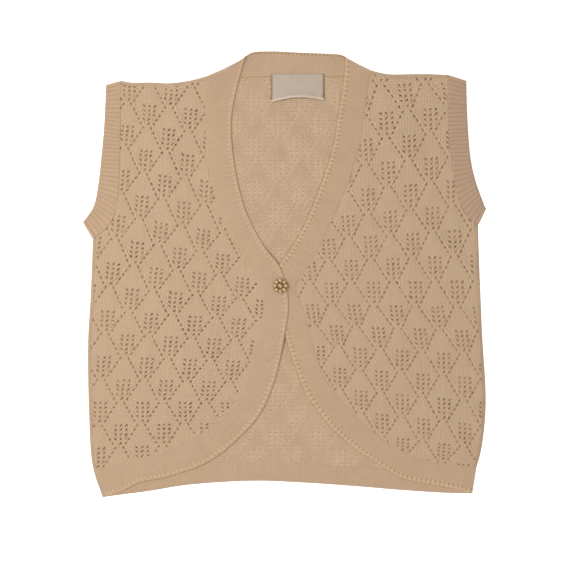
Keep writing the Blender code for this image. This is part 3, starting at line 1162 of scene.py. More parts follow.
@dataclass
class LaceSheet:
    """One lace panel, worked cell by cell: a cell is one wale wide and two courses high.

    Attributes:
        steps: Faces across a cell, 1 or 2.
        slit: Half length and half width of an eyelet, in mm.
        strand: Half width and half height of a raised strand, in mm.
        cell: Width and height of a cell, in mm.
        clear: Cloth kept without eyelets along the border, in mm.
    """

    name: str
    node: str
    border: Sequence[PlanCurve]
    lattice: Lattice
    middle: HeightOf
    flat: tuple[float, float]
    rests_on: tuple[str, ...]
    outside_up: bool = True
    steps: int = 2
    thickness: float = 1.5
    drop: float = 0.25
    relief: float = 0.4
    puff: float = 0.45
    slit: tuple[float, float] = (1.45, 0.56)
    leaf_lean: float = 42.0
    lattice_lean: float = 30.0
    leans_vary: float = 5.0
    sizes_vary: float = 0.18
    places_vary: float = 0.045
    strand: tuple[float, float] = (0.7, 0.7)
    strand_sink: float = 0.3
    cell: tuple[float, float] = (3.17, 5.4)
    clear: float = 2.4
    border_fade: float = 4.0
    border_drop: float = 0.15
    margin: float = 4.0
    seed: int = 7

    def outline(self, pitch: float = 1.5) -> Array:
        """The border as one closed polyline with a point every pitch mm."""
        lines = [c.evenly(max(3, round(c.length / pitch)))[:-1] for c in self.border]
        return np.vstack(lines)

    def cells(self, outline: Array, most_wales: int = 160) -> Cells:
        """The cells that cover the outline; those whose middle lies within it are worked.

        Args:
            outline: The border's points.
            most_wales: Wales looked for to each side of the lattice's first.

        Returns:
            The cells, with plain ones instead of eyelets along the border.
        """
        reach = np.array(self.lattice.rows)[:, 0] * self.lattice.chart.drop
        rows = np.arange(int(reach.min()), int(reach.max()))
        wales = np.arange(-most_wales, most_wales + 1)
        centres = self.lattice.plan(*np.meshgrid(wales, rows, indexing="ij"))
        low, high = outline.min(0) - self.margin, outline.max(0) + self.margin
        near = ((centres > low) & (centres < high)).all(-1)
        wales, rows = wales[near.any(1)], rows[near.any(0)]
        u, v = np.meshgrid(wales, rows, indexing="ij")
        centres = self.lattice.plan(u, v).reshape(-1, 2)
        kept = inside(centres, outline)
        gap = np.zeros(len(centres))
        gap[kept] = np.linalg.norm(nearest_on(centres[kept], outline) - centres[kept], axis=1)
        signs = self.lattice.chart.marks(u, v)
        signs[(gap < self.clear).reshape(u.shape) & np.isin(signs, EYELETS)] = "."
        free = np.clip((gap - self.clear / 2) / self.border_fade, 0, 1)
        return Cells(wales, rows, kept.reshape(u.shape), signs, free.reshape(u.shape))

    def levels(self, cells: Cells) -> Array:
        """Relief of each cell: raised for ^ and |, sunk at eyelets, and none at the border."""
        level = np.select(
            [np.isin(cells.signs, ["^", "|"]), np.isin(cells.signs, EYELETS)],
            [0.3 * self.relief, -0.5 * self.relief],
            0.0,
        )
        return level * cells.free

    def spread(self, level: Array) -> Array:
        """A number of each cell carried to the grid's points, as the mean of the cells about each."""
        padded = np.pad(level, 1, mode="edge")
        corners = (padded[1:, 1:] + padded[:-1, 1:] + padded[1:, :-1] + padded[:-1, :-1]) / 4
        wide = np.empty((self.steps * level.shape[0] + 1, 2 * level.shape[1] + 1))
        s = self.steps
        wide[::s, ::2] = corners
        wide[::s, 1::2] = (padded[1:, 1:-1] + padded[:-1, 1:-1]) / 2
        if s == 2:
            wide[1::2, ::2] = (padded[1:-1, 1:] + padded[1:-1, :-1]) / 2
            wide[1::2, 1::2] = level
        return wide

    def grid(self, cells: Cells) -> Stitches:
        """The plain cloth's points, column after column: steps of them to a wale and two to a row."""
        u = cells.wales[0] - 0.5 + np.arange(self.steps * len(cells.wales) + 1) / self.steps
        v = cells.rows[0] - 0.5 + np.arange(2 * len(cells.rows) + 1) / 2
        grid_u, grid_v = np.meshgrid(u, v, indexing="ij")
        airy = np.isin(cells.signs, EYELETS).astype(float)
        for axis in (0, 1):
            airy = (np.roll(airy, 1, axis) + 2 * airy + np.roll(airy, -1, axis)) / 4
        return Stitches(
            at=np.column_stack([grid_u.ravel(), grid_v.ravel()]),
            level=self.spread(self.levels(cells)).ravel(),
            half=np.ones(grid_u.size),
            free=self.spread(cells.free).ravel(),
            airy=self.spread(airy * 2).ravel(),
        )

    def plain_quads(self, cells: Cells, number: Array) -> Array:
        """Faces of the worked cells without an eyelet, from the numbers of the grid's points."""
        i, j = np.nonzero(cells.kept & ~cells.open)
        lines = number.shape[1]
        quads = []
        for a in range(self.steps):
            for b in range(2):
                first = number[i * self.steps + a, j * 2 + b]
                quads.append(np.column_stack([first, first + lines, first + lines + 1, first + 1]))
        return np.vstack(quads)

    def ring_path(self) -> Array:
        """Grid steps round a cell, counter-clockwise in stitch coordinates."""
        s = self.steps
        low = [(k, 0) for k in range(s)]
        right = [(s, 0), (s, 1)]
        high = [(k, 2) for k in range(s, 0, -1)]
        left = [(0, 2), (0, 1)]
        return np.array(low + right + high + left)

    def eyelets(
        self, cells: Cells, grid: Stitches, number: Array
    ) -> tuple[list[Stitches], Array, Array]:
        """Rings of quads from each eyelet cell's border down to its slit.

        The slit is an ellipse that leans with the chart's sign. Each ring is that ellipse, wider by some
        mm, and its relief is blended from the cell border's and the sunk slit's.

        Args:
            cells: The sheet's cells.
            grid: The plain cloth's points.
            number: (columns, lines) their numbers.

        Returns:
            The rings' points, all faces, and the numbers of the points round the slits.
        """
        i, j = np.nonzero(cells.open)
        wale, row = cells.wales[i], cells.rows[j]
        path = self.ring_path()
        rim = number[i[:, None] * self.steps + path[None, :, 0], j[:, None] * 2 + path[None, :, 1]]
        first_corner = math.pi * (5 / 4 if self.steps == 2 else 4 / 3)
        turn = np.linspace(0, 2 * math.pi, len(path), endpoint=False) + first_corner
        random = np.random.default_rng(self.seed)
        grow = 1 + random.normal(0, self.sizes_vary, (len(i), 2)).clip(-0.4, 0.35)
        shift = random.normal(0, self.places_vary, (len(i), 2))
        on_lattice = self.lattice.chart.on_lattice(wale, row)
        lean = np.where(on_lattice, self.lattice_lean, self.leaf_lean)
        lean = lean + random.normal(0, self.leans_vary, len(i))
        axis = np.radians(90 - np.where(cells.signs[i, j] == "/", -1.0, 1.0) * lean)[:, None]
        rings = ((0.6, 0.45, 0.8), (0.0, 0.2, 0.3)) if self.steps == 2 else ((0.0, 0.4, 0.5),)
        start, outer = number.size, rim
        points, quads = [], []
        for wider, blend, half in rings:
            along = (self.slit[0] * grow[:, :1] + wider) * np.cos(turn[None] - axis)
            over = (self.slit[1] * grow[:, 1:] + wider) * np.sin(turn[None] - axis)
            du = (along * np.cos(axis) - over * np.sin(axis)) / self.cell[0]
            dv = (along * np.sin(axis) + over * np.cos(axis)) / self.cell[1]
            at = np.stack([wale[:, None] + du + shift[:, :1], row[:, None] + dv + shift[:, 1:]], -1)
            level = grid.level[rim] * blend - (1 - blend) * 0.3 * self.relief
            points.append(
                Stitches(
                    at=at.reshape(-1, 2),
                    level=level.ravel(),
                    half=np.full(rim.size, half),
                    free=grid.free[rim].ravel(),
                    airy=grid.airy[rim].ravel(),
                )
            )
            inner = start + np.arange(rim.size).reshape(rim.shape)
            start += rim.size
            around = [outer, np.roll(outer, -1, 1), np.roll(inner, -1, 1), inner]
            quads.append(np.stack(around, -1).reshape(-1, 4))
            outer = inner
        return points, np.vstack(quads), outer.ravel()

    def build(self) -> Surface:
        """The sheet as a wall.

        The grid's points are stitch coordinates carried to the plan. A plain cell is cut into a few quads
        and an eyelet cell into rings. Border points move to the nearest place of the outline. The height
        is the cloth's middle, with the relief and the puffs added on its outer face's side.
        """
        outline = self.outline()
        cells = self.cells(outline)
        grid = self.grid(cells)
        number = np.arange(len(grid.at)).reshape(self.steps * len(cells.wales) + 1, -1)
        rings, ring_quads, hole_rim = self.eyelets(cells, grid, number)
        quads = np.vstack([self.plain_quads(cells, number), ring_quads])
        used, quads = np.unique(quads, return_inverse=True)
        quads = quads.reshape(-1, 4)
        stitches = Stitches.joined([grid, *rings]).taken(used)
        is_hole = np.isin(used, hole_rim)
        plan = self.lattice.plan(stitches.at[:, 0], stitches.at[:, 1])
        corner = plan[quads]
        area = np.cross(corner[:, 2] - corner[:, 0], corner[:, 3] - corner[:, 1])
        if np.median(area) < 0:
            quads = quads[:, ::-1]

        starts, ends = quads.ravel(), np.roll(quads, -1, 1).ravel()
        single = ~np.isin(starts * len(plan) + ends, ends * len(plan) + starts)
        edge = np.unique(starts[single])
        edge = edge[~is_hole[edge]]
        plan[edge] = nearest_on(plan[edge], outline)

        bulge = stitches.level + stitches.free * self.bulge(stitches.at[:, 0], stitches.at[:, 1])
        face = 1.0 if self.outside_up else -1.0
        sunk = self.drop + self.border_drop * (1 - stitches.free)
        height = self.middle(plan[:, 0], plan[:, 1]) - sunk + face * bulge
        half = self.thickness / 2 * stitches.half
        uv = np.column_stack([stitches.at[:, 0] + 0.5, -2 * stitches.at[:, 1]])
        wall = shell(np.column_stack([plan, height]), half, quads, uv)
        # deep marks the eyelets' rim points, which the finishes paint with shade on the fronts and with
        # light on the back.
        wall.extras["deep"] = np.tile(is_hole.astype(float), 2)
        wall.extras["open"] = np.tile(stitches.airy, 2)
        if not self.outside_up:
            wall.slots = 1 - wall.slots
        return wall

    def strand_lines(self) -> tuple[Array, Array, Array]:
        """Middle lines of the raised stitches, in stitch coordinates.

        Beside an eyelet on the lattice a strand lies in the decrease's cell, one wale on, along the
        diamond's edge. In a leaf it lies below its eyelet and leans as that does. A standing stitch is
        upright.

        Returns:
            (n, 5, 2) wales and rows, (n, 5, 2) places of the plan, and (n,) which strands are upright,
            without those that cross the border.
        """
        outline = self.outline()
        cells = self.cells(outline)
        i, j = np.nonzero(cells.kept & np.isin(cells.signs, [*EYELETS, "|"]))
        wale, row, sign = cells.wales[i], cells.rows[j], cells.signs[i, j]
        hand = np.select([sign == "/", sign == "|"], [-1.0, 0.0], 1.0)
        edge = self.lattice.chart.on_lattice(wale, row) & (hand != 0)
        upright = hand == 0
        centre = np.column_stack(
            [wale + np.where(edge, 0.92 * hand, 0.0), row + np.where(edge | upright, 0.0, 0.5)]
        )
        run = np.column_stack(
            [np.where(edge, 0.48, 0.5) * hand, np.where(edge, 0.48, np.where(upright, 0.55, 0.3))]
        )
        at = centre[:, None] + run[:, None] * STRAND_SHARES[None, :, None]
        line = self.lattice.plan(at[..., 0], at[..., 1])
        within = inside(line.reshape(-1, 2), outline).reshape(len(i), -1).all(1)
        return at[within], line[within], upright[within]

    def strands(self, around: int = 6) -> Surface:
        """The raised stitches: a short plump strand for each.

        Its section is an ellipse that narrows to both ends as the root of one less 0.8 times the share
        squared, and the ends dip into the cloth.

        Args:
            around: Points round a strand.

        Returns:
            All strands as one surface, with slot 1 for the upright ones.
        """
        at, line, upright = self.strand_lines()
        along = line[:, -1] - line[:, 0]
        along /= np.linalg.norm(along, axis=1)[:, None]
        over = np.stack([along[:, 1], -along[:, 0]], -1)
        turn = np.linspace(0, 2 * math.pi, around, endpoint=False)
        wide, high = (size * np.sqrt(1 - 0.8 * STRAND_SHARES**2) for size in self.strand)
        side = wide[None, :, None] * np.cos(turn)[None, None]
        plan = line[:, :, None] + over[:, None, None] * side[..., None]
        base = self.middle(line[..., 0], line[..., 1]) - self.drop + self.thickness / 2
        base = base + self.bulge(at[..., 0], at[..., 1])
        base = base + np.where(upright, -0.2, 0.5 * self.relief)[:, None]
        rise = base[:, :, None] - self.strand_sink * STRAND_SHARES[None, :, None] ** 2
        rise = rise + high[None, :, None] * np.sin(turn)[None, None]
        rings = np.concatenate([plan, rise[..., None]], -1)
        uv = np.stack(np.broadcast_arrays(STRAND_SHARES[:, None] * 2.5, turn[None] * 0.6), -1)
        one = tube(rings[0], uv, closed=False)
        count = len(rings)
        starts = np.arange(count)[:, None, None] * len(one.points)
        return Surface(
            rings.reshape(-1, 3),
            (one.quads[None] + starts).reshape(-1, 4),
            np.tile(one.uv, (count, 1)),
            np.repeat(upright.astype(int), len(one.quads)),
        )

    def bulge(self, u: Array, v: Array) -> Array:
        """How far the diamonds puff up: the product of a cosine across and one along, none below zero."""
        chart = self.lattice.chart
        across = np.cos(2 * math.pi / chart.wales * u)
        return self.puff * np.clip(across * np.cos(math.pi / chart.drop * (v - chart.drop / 2)), 0, 1)

    def dress(self, finishes: Finishes) -> bpy.types.Object:
        """Makes the piece in its outside and inside finishes, with its strands if its outside shows.

        Args:
            finishes: The garment's finishes.

        Returns:
            The sheet.
        """
        made = self.build().piece(self.name, [finishes.lace, finishes.lace_inside], "lace_knit")
        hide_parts(self.node)
        raised = []
        if self.outside_up:
            yarns = [finishes.strand, finishes.stem]
            raised = [self.strands().piece(f"{self.name}_strands", yarns, "lace_knit")]
        width, length = self.flat
        width * MM
        length * MM
        polygon_area(self.outline()) * MM * MM
        return made


def polygon_area(border: Array) -> float:
    """Area within a closed line: half the sum of the cross products of its neighbours."""
    x, y = border[:, 0], border[:, 1]
    return float(abs(np.dot(x, np.roll(y, -1)) - np.dot(y, np.roll(x, -1))) / 2)


# ------------ bands


@dataclass
class Band:
    """A plain band: a wall carried along its free edge and its seam.

    Attributes:
        sags: How far the middle of the first and last section sags.
        edge_share: Share of the thickness left at the free edge.
        seam_share: Share of the thickness left at the seam.
    """

    name: str
    node: str
    sections: Sequence[Section]
    middle: HeightOf
    finish: Material
    rests_on: tuple[str, ...]
    marks: tuple[EdgeMarks, ...] = ()
    sags: tuple[float, float] = (0.0, 0.0)
    sag_reach: float = 25.0
    lift: float = 0.0
    lift_reach: float = 45.0
    pitch: float = 1.3
    thickness: float = 2.0
    crown: float = 0.2
    rim: float = 0.3
    rim_width: float = 5.6
    roll: float = 1.4
    edge_share: float = 0.1
    edge_dip: float = 0.12
    seam_share: float = 0.66
    seam_roll: float = 2.6
    overlap: float = 1.0
    top_steps: int = 26
    under_steps: int = 8

    @property
    def edge(self) -> PlanCurve:
        """The free edge's line."""
        return PlanCurve.through([s.edge for s in self.sections])

    @property
    def seam(self) -> PlanCurve:
        """The seam's line."""
        return PlanCurve.through([s.seam for s in self.sections])

    def profile(self) -> tuple[Array, Array]:
        """Share of the width and side of each point round the band's section.

        The upper face runs from the free edge to the seam and the lower one back. Points crowd towards
        both ends, as the cosine of even steps does, and less so on the upper face.

        Returns:
            The shares, and the sides: 1 above and -1 below.
        """
        top = crowded(self.top_steps, 0.55)
        under = crowded(self.under_steps, 1.0)[::-1]
        side = np.concatenate([np.ones(self.top_steps), -np.ones(self.under_steps)])
        return np.concatenate([top, under]), side

    def dents(self, along: Array, over: Array) -> Array:
        """Depth of the edge marks: a round-bottomed pit of each mark's length and width, repeated.

        Args:
            along: Distance along the band.
            over: Distance from the free edge.

        Returns:
            The depth.
        """
        depth = np.zeros(np.broadcast(along, over).shape)
        for row in self.marks:
            place = (along - row.slant * over) / row.pitch
            beside = np.abs(place % 1 - 0.5) * row.pitch / (row.width * 0.75)
            inner = np.abs(over - row.start - row.length / 2) / (row.length * 0.6)
            depth += row.depth * np.clip(1 - beside**2, 0, 1) * np.clip(1 - inner**2, 0, 1)
        return depth

    def stations(self) -> tuple[Array, Array]:
        """Points of the free edge and the seam at even shares of their spans, a pitch or less apart."""
        edge, seam = self.edge, self.seam
        knots = np.linspace(0, 1, len(edge.points))
        shares = np.linspace(0, 1, round(max(edge.length, seam.length) / self.pitch))
        near, far = (
            np.column_stack([np.interp(shares, knots, curve.points[:, k]) for k in (0, 1)])
            for curve in (edge, seam)
        )
        return near, far

    def upper(self, along: Array, over: Array, width: Array) -> Array:
        """Height of the upper face over the cloth's middle.

        It is half the thickness, rolls down as a quarter ellipse at the free edge and smoothly at the
        seam, and has a low crown, a raised edging and the marks' dents.

        Args:
            along: (stations, 1) distance along the band.
            over: (stations, points) distance from the free edge.
            width: (stations, 1) the band's width.

        Returns:
            (stations, points) heights.
        """
        to_edge = np.clip(over / self.roll, 0, 1)
        to_seam = np.clip((width - over) / self.seam_roll, 0, 1)
        round_edge = self.edge_share + (1 - self.edge_share) * np.sqrt(1 - (1 - to_edge) ** 2)
        round_seam = self.seam_share + (1 - self.seam_share) * ramp(to_seam, 0, 1)
        bow = 4 * (over / width) * (1 - over / width)
        edging = self.rim * ramp(over, 0.4, 2.0) * ramp(over, self.rim_width + 1, self.rim_width - 1)
        level = self.thickness * (np.minimum(round_edge, round_seam) - 0.5)
        return level + self.crown * bow + edging - self.dents(along, over)

    def build(self) -> Surface:
        """The band's wall.

        Each section's points lie between the edge and seam curves, bowed down near both ends by the sags.
        The lower face is flat but for a small dip at the free edge, and the upper one is as upper says.
        """
        near, far = self.stations()
        width = np.linalg.norm(far - near, axis=1)[:, None]
        far = far + (far - near) / width * self.overlap
        width = width + self.overlap
        share, side = self.profile()
        plan = near[:, None] * (1 - share[None, :, None]) + far[:, None] * share[None, :, None]
        steps = np.linalg.norm(np.diff((near + far) / 2, axis=0), axis=1)
        along = np.concatenate([[0], np.cumsum(steps)])[:, None]
        over = width * share[None]
        for sag, from_end in zip(self.sags, (along, along[-1] - along)):
            bow = 4 * share * (1 - share)
            plan[..., 1] -= bow * sag * np.clip(1 - from_end / self.sag_reach, 0, 1)
        lower = -self.thickness / 2 - self.edge_dip * (1 - np.clip(over / self.roll, 0, 1))
        lift = self.lift * (1 - share) ** 2 * np.clip(1 - along / self.lift_reach, 0, 1) ** 1.5
        height = self.middle(plan[..., 0], plan[..., 1]) + lift
        height = height + np.where(side > 0, self.upper(along, over, width), lower)
        rings = np.dstack([plan, height])
        uv = np.dstack([np.broadcast_to(along, over.shape), over])
        to_seam = np.broadcast_to(width, over.shape) - over
        if turns_left(near, far):
            rings, uv, to_seam = rings[:, ::-1], uv[:, ::-1], to_seam[:, ::-1]
        made = tube(rings, uv, closed=False)
        made.extras["to_seam"] = to_seam.ravel()
        return made

    def dress(self) -> bpy.types.Object:
        """Makes the piece."""
        made = self.build().piece(self.name, [self.finish], "plain_knit")
        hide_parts(self.node)
        width = float(np.mean([math.dist(s.edge, s.seam) for s in self.sections]))
        length = (self.edge.length + self.seam.length) / 2
        return made


@dataclass
class ArmBand:
    """An armband: a ring of ribbed cloth, flattened and folded at the shoulder and the underarm."""

    name: str
    node: str
    edge: Sequence[Place]
    seam: Sequence[Place]
    finish: Material
    rests_on: tuple[str, ...] = ("back_panel",)
    rib_pitch: float = 4.9
    rib_depth: float = 0.6
    rib_steps: int = 8
    back_steps: int = 100
    fold_steps: int = 7
    across: int = 15
    inner_radius: float = 0.15
    thickness: float = 2.0
    opening_roll: float = 0.08
    sewn_roll: float = 0.13
    sewn_share: float = 0.54
    fan: float = 0.065
    fan_at: float = 0.64

    @property
    def outer_radius(self) -> float:
        """Of the folds, outside."""
        return self.inner_radius + self.thickness

    @property
    def opening(self) -> PlanCurve:
        """The opening's line."""
        return PlanCurve.through(self.edge)

    @property
    def sewn(self) -> PlanCurve:
        """The seam's line."""
        return PlanCurve.through(self.seam)

    def profile(self) -> tuple[Array, Array]:
        """Share of the width and of the thickness, round the ring's section.

        The outer face runs from the opening to the seam, rounded at the opening as a quarter circle is and
        smoothly at the seam, and the inner face runs back.
        """
        share = crowded(self.across, 0.5)
        opening = np.sqrt(1 - (1 - np.clip(share / self.opening_roll, 0, 1)) ** 2)
        sewn = self.sewn_share + (1 - self.sewn_share) * ramp(1 - share, 0, self.sewn_roll)
        outer = 0.5 + 0.5 * opening * sewn
        inner = 1 - outer[::-1]
        keep = slice(1, -1)
        return np.concatenate([share, share[::-1][keep]]), np.concatenate([outer, inner[keep]])

    def layer(self, count: int) -> tuple[Array, Array]:
        """The opening's and the seam's points of one layer, short of the folds.

        The seam's points lag behind the opening's, most at the share fan_at, so the ribs fan out.

        Args:
            count: Stations.

        Returns:
            Both lines' (count, 2) points.
        """
        share = np.linspace(0, 1, count)
        late = self.fan * ramp(share, 0.2, self.fan_at) * ramp(share, 1.0, self.fan_at)
        near, far = (
            curve.at(self.outer_radius + (curve.length - 2 * self.outer_radius) * at)
            for curve, at in ((self.opening, share), (self.sewn, share - late))
        )
        return near, far

    @staticmethod
    def outwards(near: Array, far: Array, neighbour: Array) -> Array:
        """Unit vector across a fold, away from the band.

        Args:
            near: The fold's end at the opening.
            far: Its end at the seam.
            neighbour: A point of the opening beside near.

        Returns:
            The vector.
        """
        over = (far - near) / np.linalg.norm(far - near)
        out = np.array([-over[1], over[0]])
        return out if out @ (near - neighbour) > 0 else -out

    def build(self) -> Surface:
        """The ring's wall.

        Stations run down the upper layer, round the underarm fold, up the lower layer and round the
        shoulder fold. Each one stands at an angle to the fold's axis, and its points at radii from the
        inner to the outer face. The ribs are the square of a raised cosine of the distance along the upper
        layer, cut short at the folds.
        """
        ribs = round(self.opening.length / self.rib_pitch)
        front, fold_steps, back = ribs * self.rib_steps + 1, self.fold_steps, self.back_steps
        near, far = self.layer(front)
        back_near, back_far = self.layer(back)
        shoulder = self.outwards(near[0], far[0], near[1])
        under = self.outwards(near[-1], far[-1], near[-2])
        place_near, place_far = (
            np.vstack(
                [
                    upper,
                    np.tile(upper[-1], (fold_steps, 1)),
                    lower[::-1],
                    np.tile(upper[0], (fold_steps, 1)),
                ]
            )
            for upper, lower in ((near, back_near), (far, back_far))
        )
        fold = np.linspace(math.pi / 2, -math.pi / 2, fold_steps + 2)[1:-1]
        angle = np.concatenate(
            [np.full(front, math.pi / 2), fold, np.full(back, -math.pi / 2), fold[::-1]]
        )
        out = np.vstack(
            [np.tile(under, (front + fold_steps, 1)), np.tile(shoulder, (back + fold_steps, 1))]
        )
        rib = np.concatenate(
            [
                np.linspace(0, ribs, front),
                np.full(fold_steps, float(ribs)),
                np.linspace(ribs, 0, back),
                np.zeros(fold_steps),
            ]
        )
        on_top = np.arange(len(angle)) < front
        valley = on_top * (0.5 - 0.5 * np.cos(2 * math.pi * rib)) ** 2
        share, depth = self.profile()
        fade = np.clip(np.minimum(share, 1 - share) / 0.06, 0, 1) * (depth > 0.5)
        radius = self.inner_radius + self.thickness * depth[None]
        radius = radius - self.rib_depth * valley[:, None] * fade[None]
        plan = place_near[:, None] * (1 - share[None, :, None]) + place_far[:, None] * share[None, :, None]
        plan = plan + out[:, None] * (radius * np.cos(angle)[:, None])[..., None]
        rings = np.dstack([plan, self.outer_radius + radius * np.sin(angle)[:, None]])
        width = np.linalg.norm(place_far - place_near, axis=1)[:, None]
        uv = np.dstack([np.broadcast_to(rib[:, None] + 0.25, radius.shape), width * share[None]])
        if turns_left(near, far):
            rings, uv = rings[:, ::-1], uv[:, ::-1]
        return tube(rings, uv, closed=True)

    def dress(self) -> bpy.types.Object:
        """Makes the piece."""
        made = self.build().piece(self.name, [self.finish], "rib_knit")
        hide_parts(self.node)
        across = self.opening.evenly(30) - self.sewn.evenly(30)
        around = self.opening.length + self.sewn.length
        return made


@dataclass
class FoldEdge:
    """The rounded edge where a front and the back meet, at a side seam or a shoulder.

    Attributes:
        inwards: 1 if the garment lies to the left of the line, -1 if to its right.
    """

    name: str
    line: PlanCurve
    finish: Material
    inwards: float
    radius: float = 1.95
    wall: float = 0.5
    tail: float = 2.6
    tail_sink: float = 0.25
    arc_steps: int = 9
    pitch: float = 2.5
    uv_start: float = 10.0

    @property
    def width(self) -> float:
        """Length of the channel's section: its half circle and both tails."""
        return math.pi * self.radius + 2 * self.tail

    def profile(self) -> tuple[Array, Array]:
        """Inset and height round the section: a half circle with sinking tails, and the same a wall in."""
        arc = np.linspace(math.pi / 2, -math.pi / 2, self.arc_steps)
        inset, height = [], []
        for radius, order in ((self.radius, 1), (self.radius - self.wall, -1)):
            run = np.concatenate([[self.tail], np.zeros(self.arc_steps), [self.tail]])
            turn = np.concatenate([arc[:1], arc, arc[-1:]])
            level = np.sin(turn)
            level[[0, -1]] *= 1 - self.tail_sink
            inset.append((self.radius + run - radius * np.cos(turn))[::order])
            height.append((radius * level)[::order])
        return np.concatenate(inset), np.concatenate(height)

    def build(self) -> Surface:
        """The channel: its section carried along the line, its round side out."""
        points = self.line.evenly(max(4, round(self.line.length / self.pitch)))
        along = np.gradient(points, axis=0)
        along /= np.linalg.norm(along, axis=1)[:, None]
        inner_side = self.inwards * np.column_stack([-along[:, 1], along[:, 0]])
        inset, rise = self.profile()
        plan = points[:, None] + inner_side[:, None] * inset[None, :, None]
        height = np.broadcast_to(LAY.front - LAY.gap / 2 + rise, plan.shape[:2])
        rings = np.dstack([plan, height])
        reach = np.linspace(0, self.line.length, len(points))[:, None]
        over = np.concatenate([[0], np.cumsum(np.hypot(np.diff(inset), np.diff(rise)))])
        uv = np.dstack(np.broadcast_arrays(reach, over + self.uv_start))
        if self.inwards > 0:
            rings, uv = rings[:, ::-1], uv[:, ::-1]
        return tube(rings, uv, closed=False)

    def dress(self) -> bpy.types.Object:
        """Makes the piece."""
        made = self.build().piece(self.name, [self.finish], "lace_knit")
        self.width * MM
        return made


# ------------ label and button


@dataclass
class Label:
    """The neck label: bare satin tape, sewn in at its top and curling up along its lower edge."""

    finish: Material
    left: float = -16.0
    right: float = 47.5
    top: float = 240.0
    foot: float = 206.0
    slant: float = 2.4
    arch: float = 4.5
    curl: float = 4.0
    corner_curl: float = 0.6
    clear: tuple[float, float] = (0.5, 0.9)
    sewn: float = 0.3
    wrinkle: float = 0.12
    thickness: float = 0.5
    columns: int = 64
    rows: int = 34

    def build(self) -> Surface:
        """A plate whose height grows as the cube of the share down it, most in its middle.

        Its slight waves are the product of a sine mostly across and one mostly down.
        """
        over, down = np.meshgrid(
            np.linspace(0, 1, self.columns), np.linspace(0, 1, self.rows), indexing="ij"
        )
        crown = np.sin(math.pi * over)
        foot = self.foot + self.slant * over + self.arch * crown
        x = self.left + over * (self.right - self.left)
        y = self.top + down * (foot - self.top)
        loose = ramp(down, 0, self.sewn)
        lift = self.corner_curl + (self.curl - self.corner_curl) * crown
        waves = self.wrinkle * np.sin(over * 23 + 2 * down) * np.sin(down * 9 + over * 5)
        low, high = self.clear
        height = LAY.cloth + low + (high - low) * loose + lift * down**3 + waves * loose
        middle = np.dstack([x, y, height]).reshape(-1, 3)
        number = np.arange(self.columns * self.rows).reshape(self.columns, self.rows)
        first = number[:-1, :-1].ravel()
        quads = np.column_stack([first, first + 1, first + self.rows + 1, first + self.rows])
        uv = np.column_stack([x.ravel() - self.left, (y - foot).ravel()])
        return shell(middle, np.full(len(middle), self.thickness / 2), quads, uv)

    def dress(self) -> bpy.types.Object:
        """Makes the piece."""
        made = self.build().piece("label", [self.finish, self.finish], "label_satin")
        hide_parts("neck_label")
        (self.right - self.left) * MM
        (self.top - self.foot) * MM
        return made


def lathe(
    profile: Sequence[tuple[float, float]], place: Place, sides: int, petals: Petals = None
) -> Surface:
    """A profile of (radius, height) turned about an upright axis at place.

    Args:
        profile: Points from the foot's middle out, up and back to the top's middle.
        place: The axis.
        sides: Steps round.
        petals: Their number, the share by which they swell the radius, and the radius they start from.

    Returns:
        The closed surface.
    """
    line = np.array(profile, float)
    turn = np.linspace(0, 2 * math.pi, sides, endpoint=False)
    radius, height = line[:, 0, None], line[:, 1, None]
    if petals is None:
        radius = np.repeat(radius, sides, 1)
    else:
        count, swell, start = petals
        radius = radius * np.where(radius > start, 1 + swell * np.cos(count * turn), 1.0)
    height = np.broadcast_to(height, radius.shape)
    rings = np.dstack([place.x + radius * np.cos(turn), place.y + radius * np.sin(turn), height])
    uv = np.dstack([np.broadcast_to(turn, radius.shape), height])
    return tube(rings[:, ::-1], uv[:, ::-1], closed=False)


def ball(radius: float, place: Place, foot: float, squash: float = 1.0, rings: int = 10) -> Surface:
    """A ball standing on the height foot, as a turned half circle.

    Args:
        radius: Of the ball.
        place: Its axis.
        foot: Height of its lowest point.
        squash: Its height against its width.
        rings: Steps from the foot to the top.

    Returns:
        The closed surface.
    """
    turns = np.linspace(-math.pi / 2, math.pi / 2, rings + 1)
    profile = [
        (max(NEARLY_NONE, radius * math.cos(turn)), foot + squash * radius * (1 + math.sin(turn)))
        for turn in turns
    ]
    return lathe(profile, place, 16)


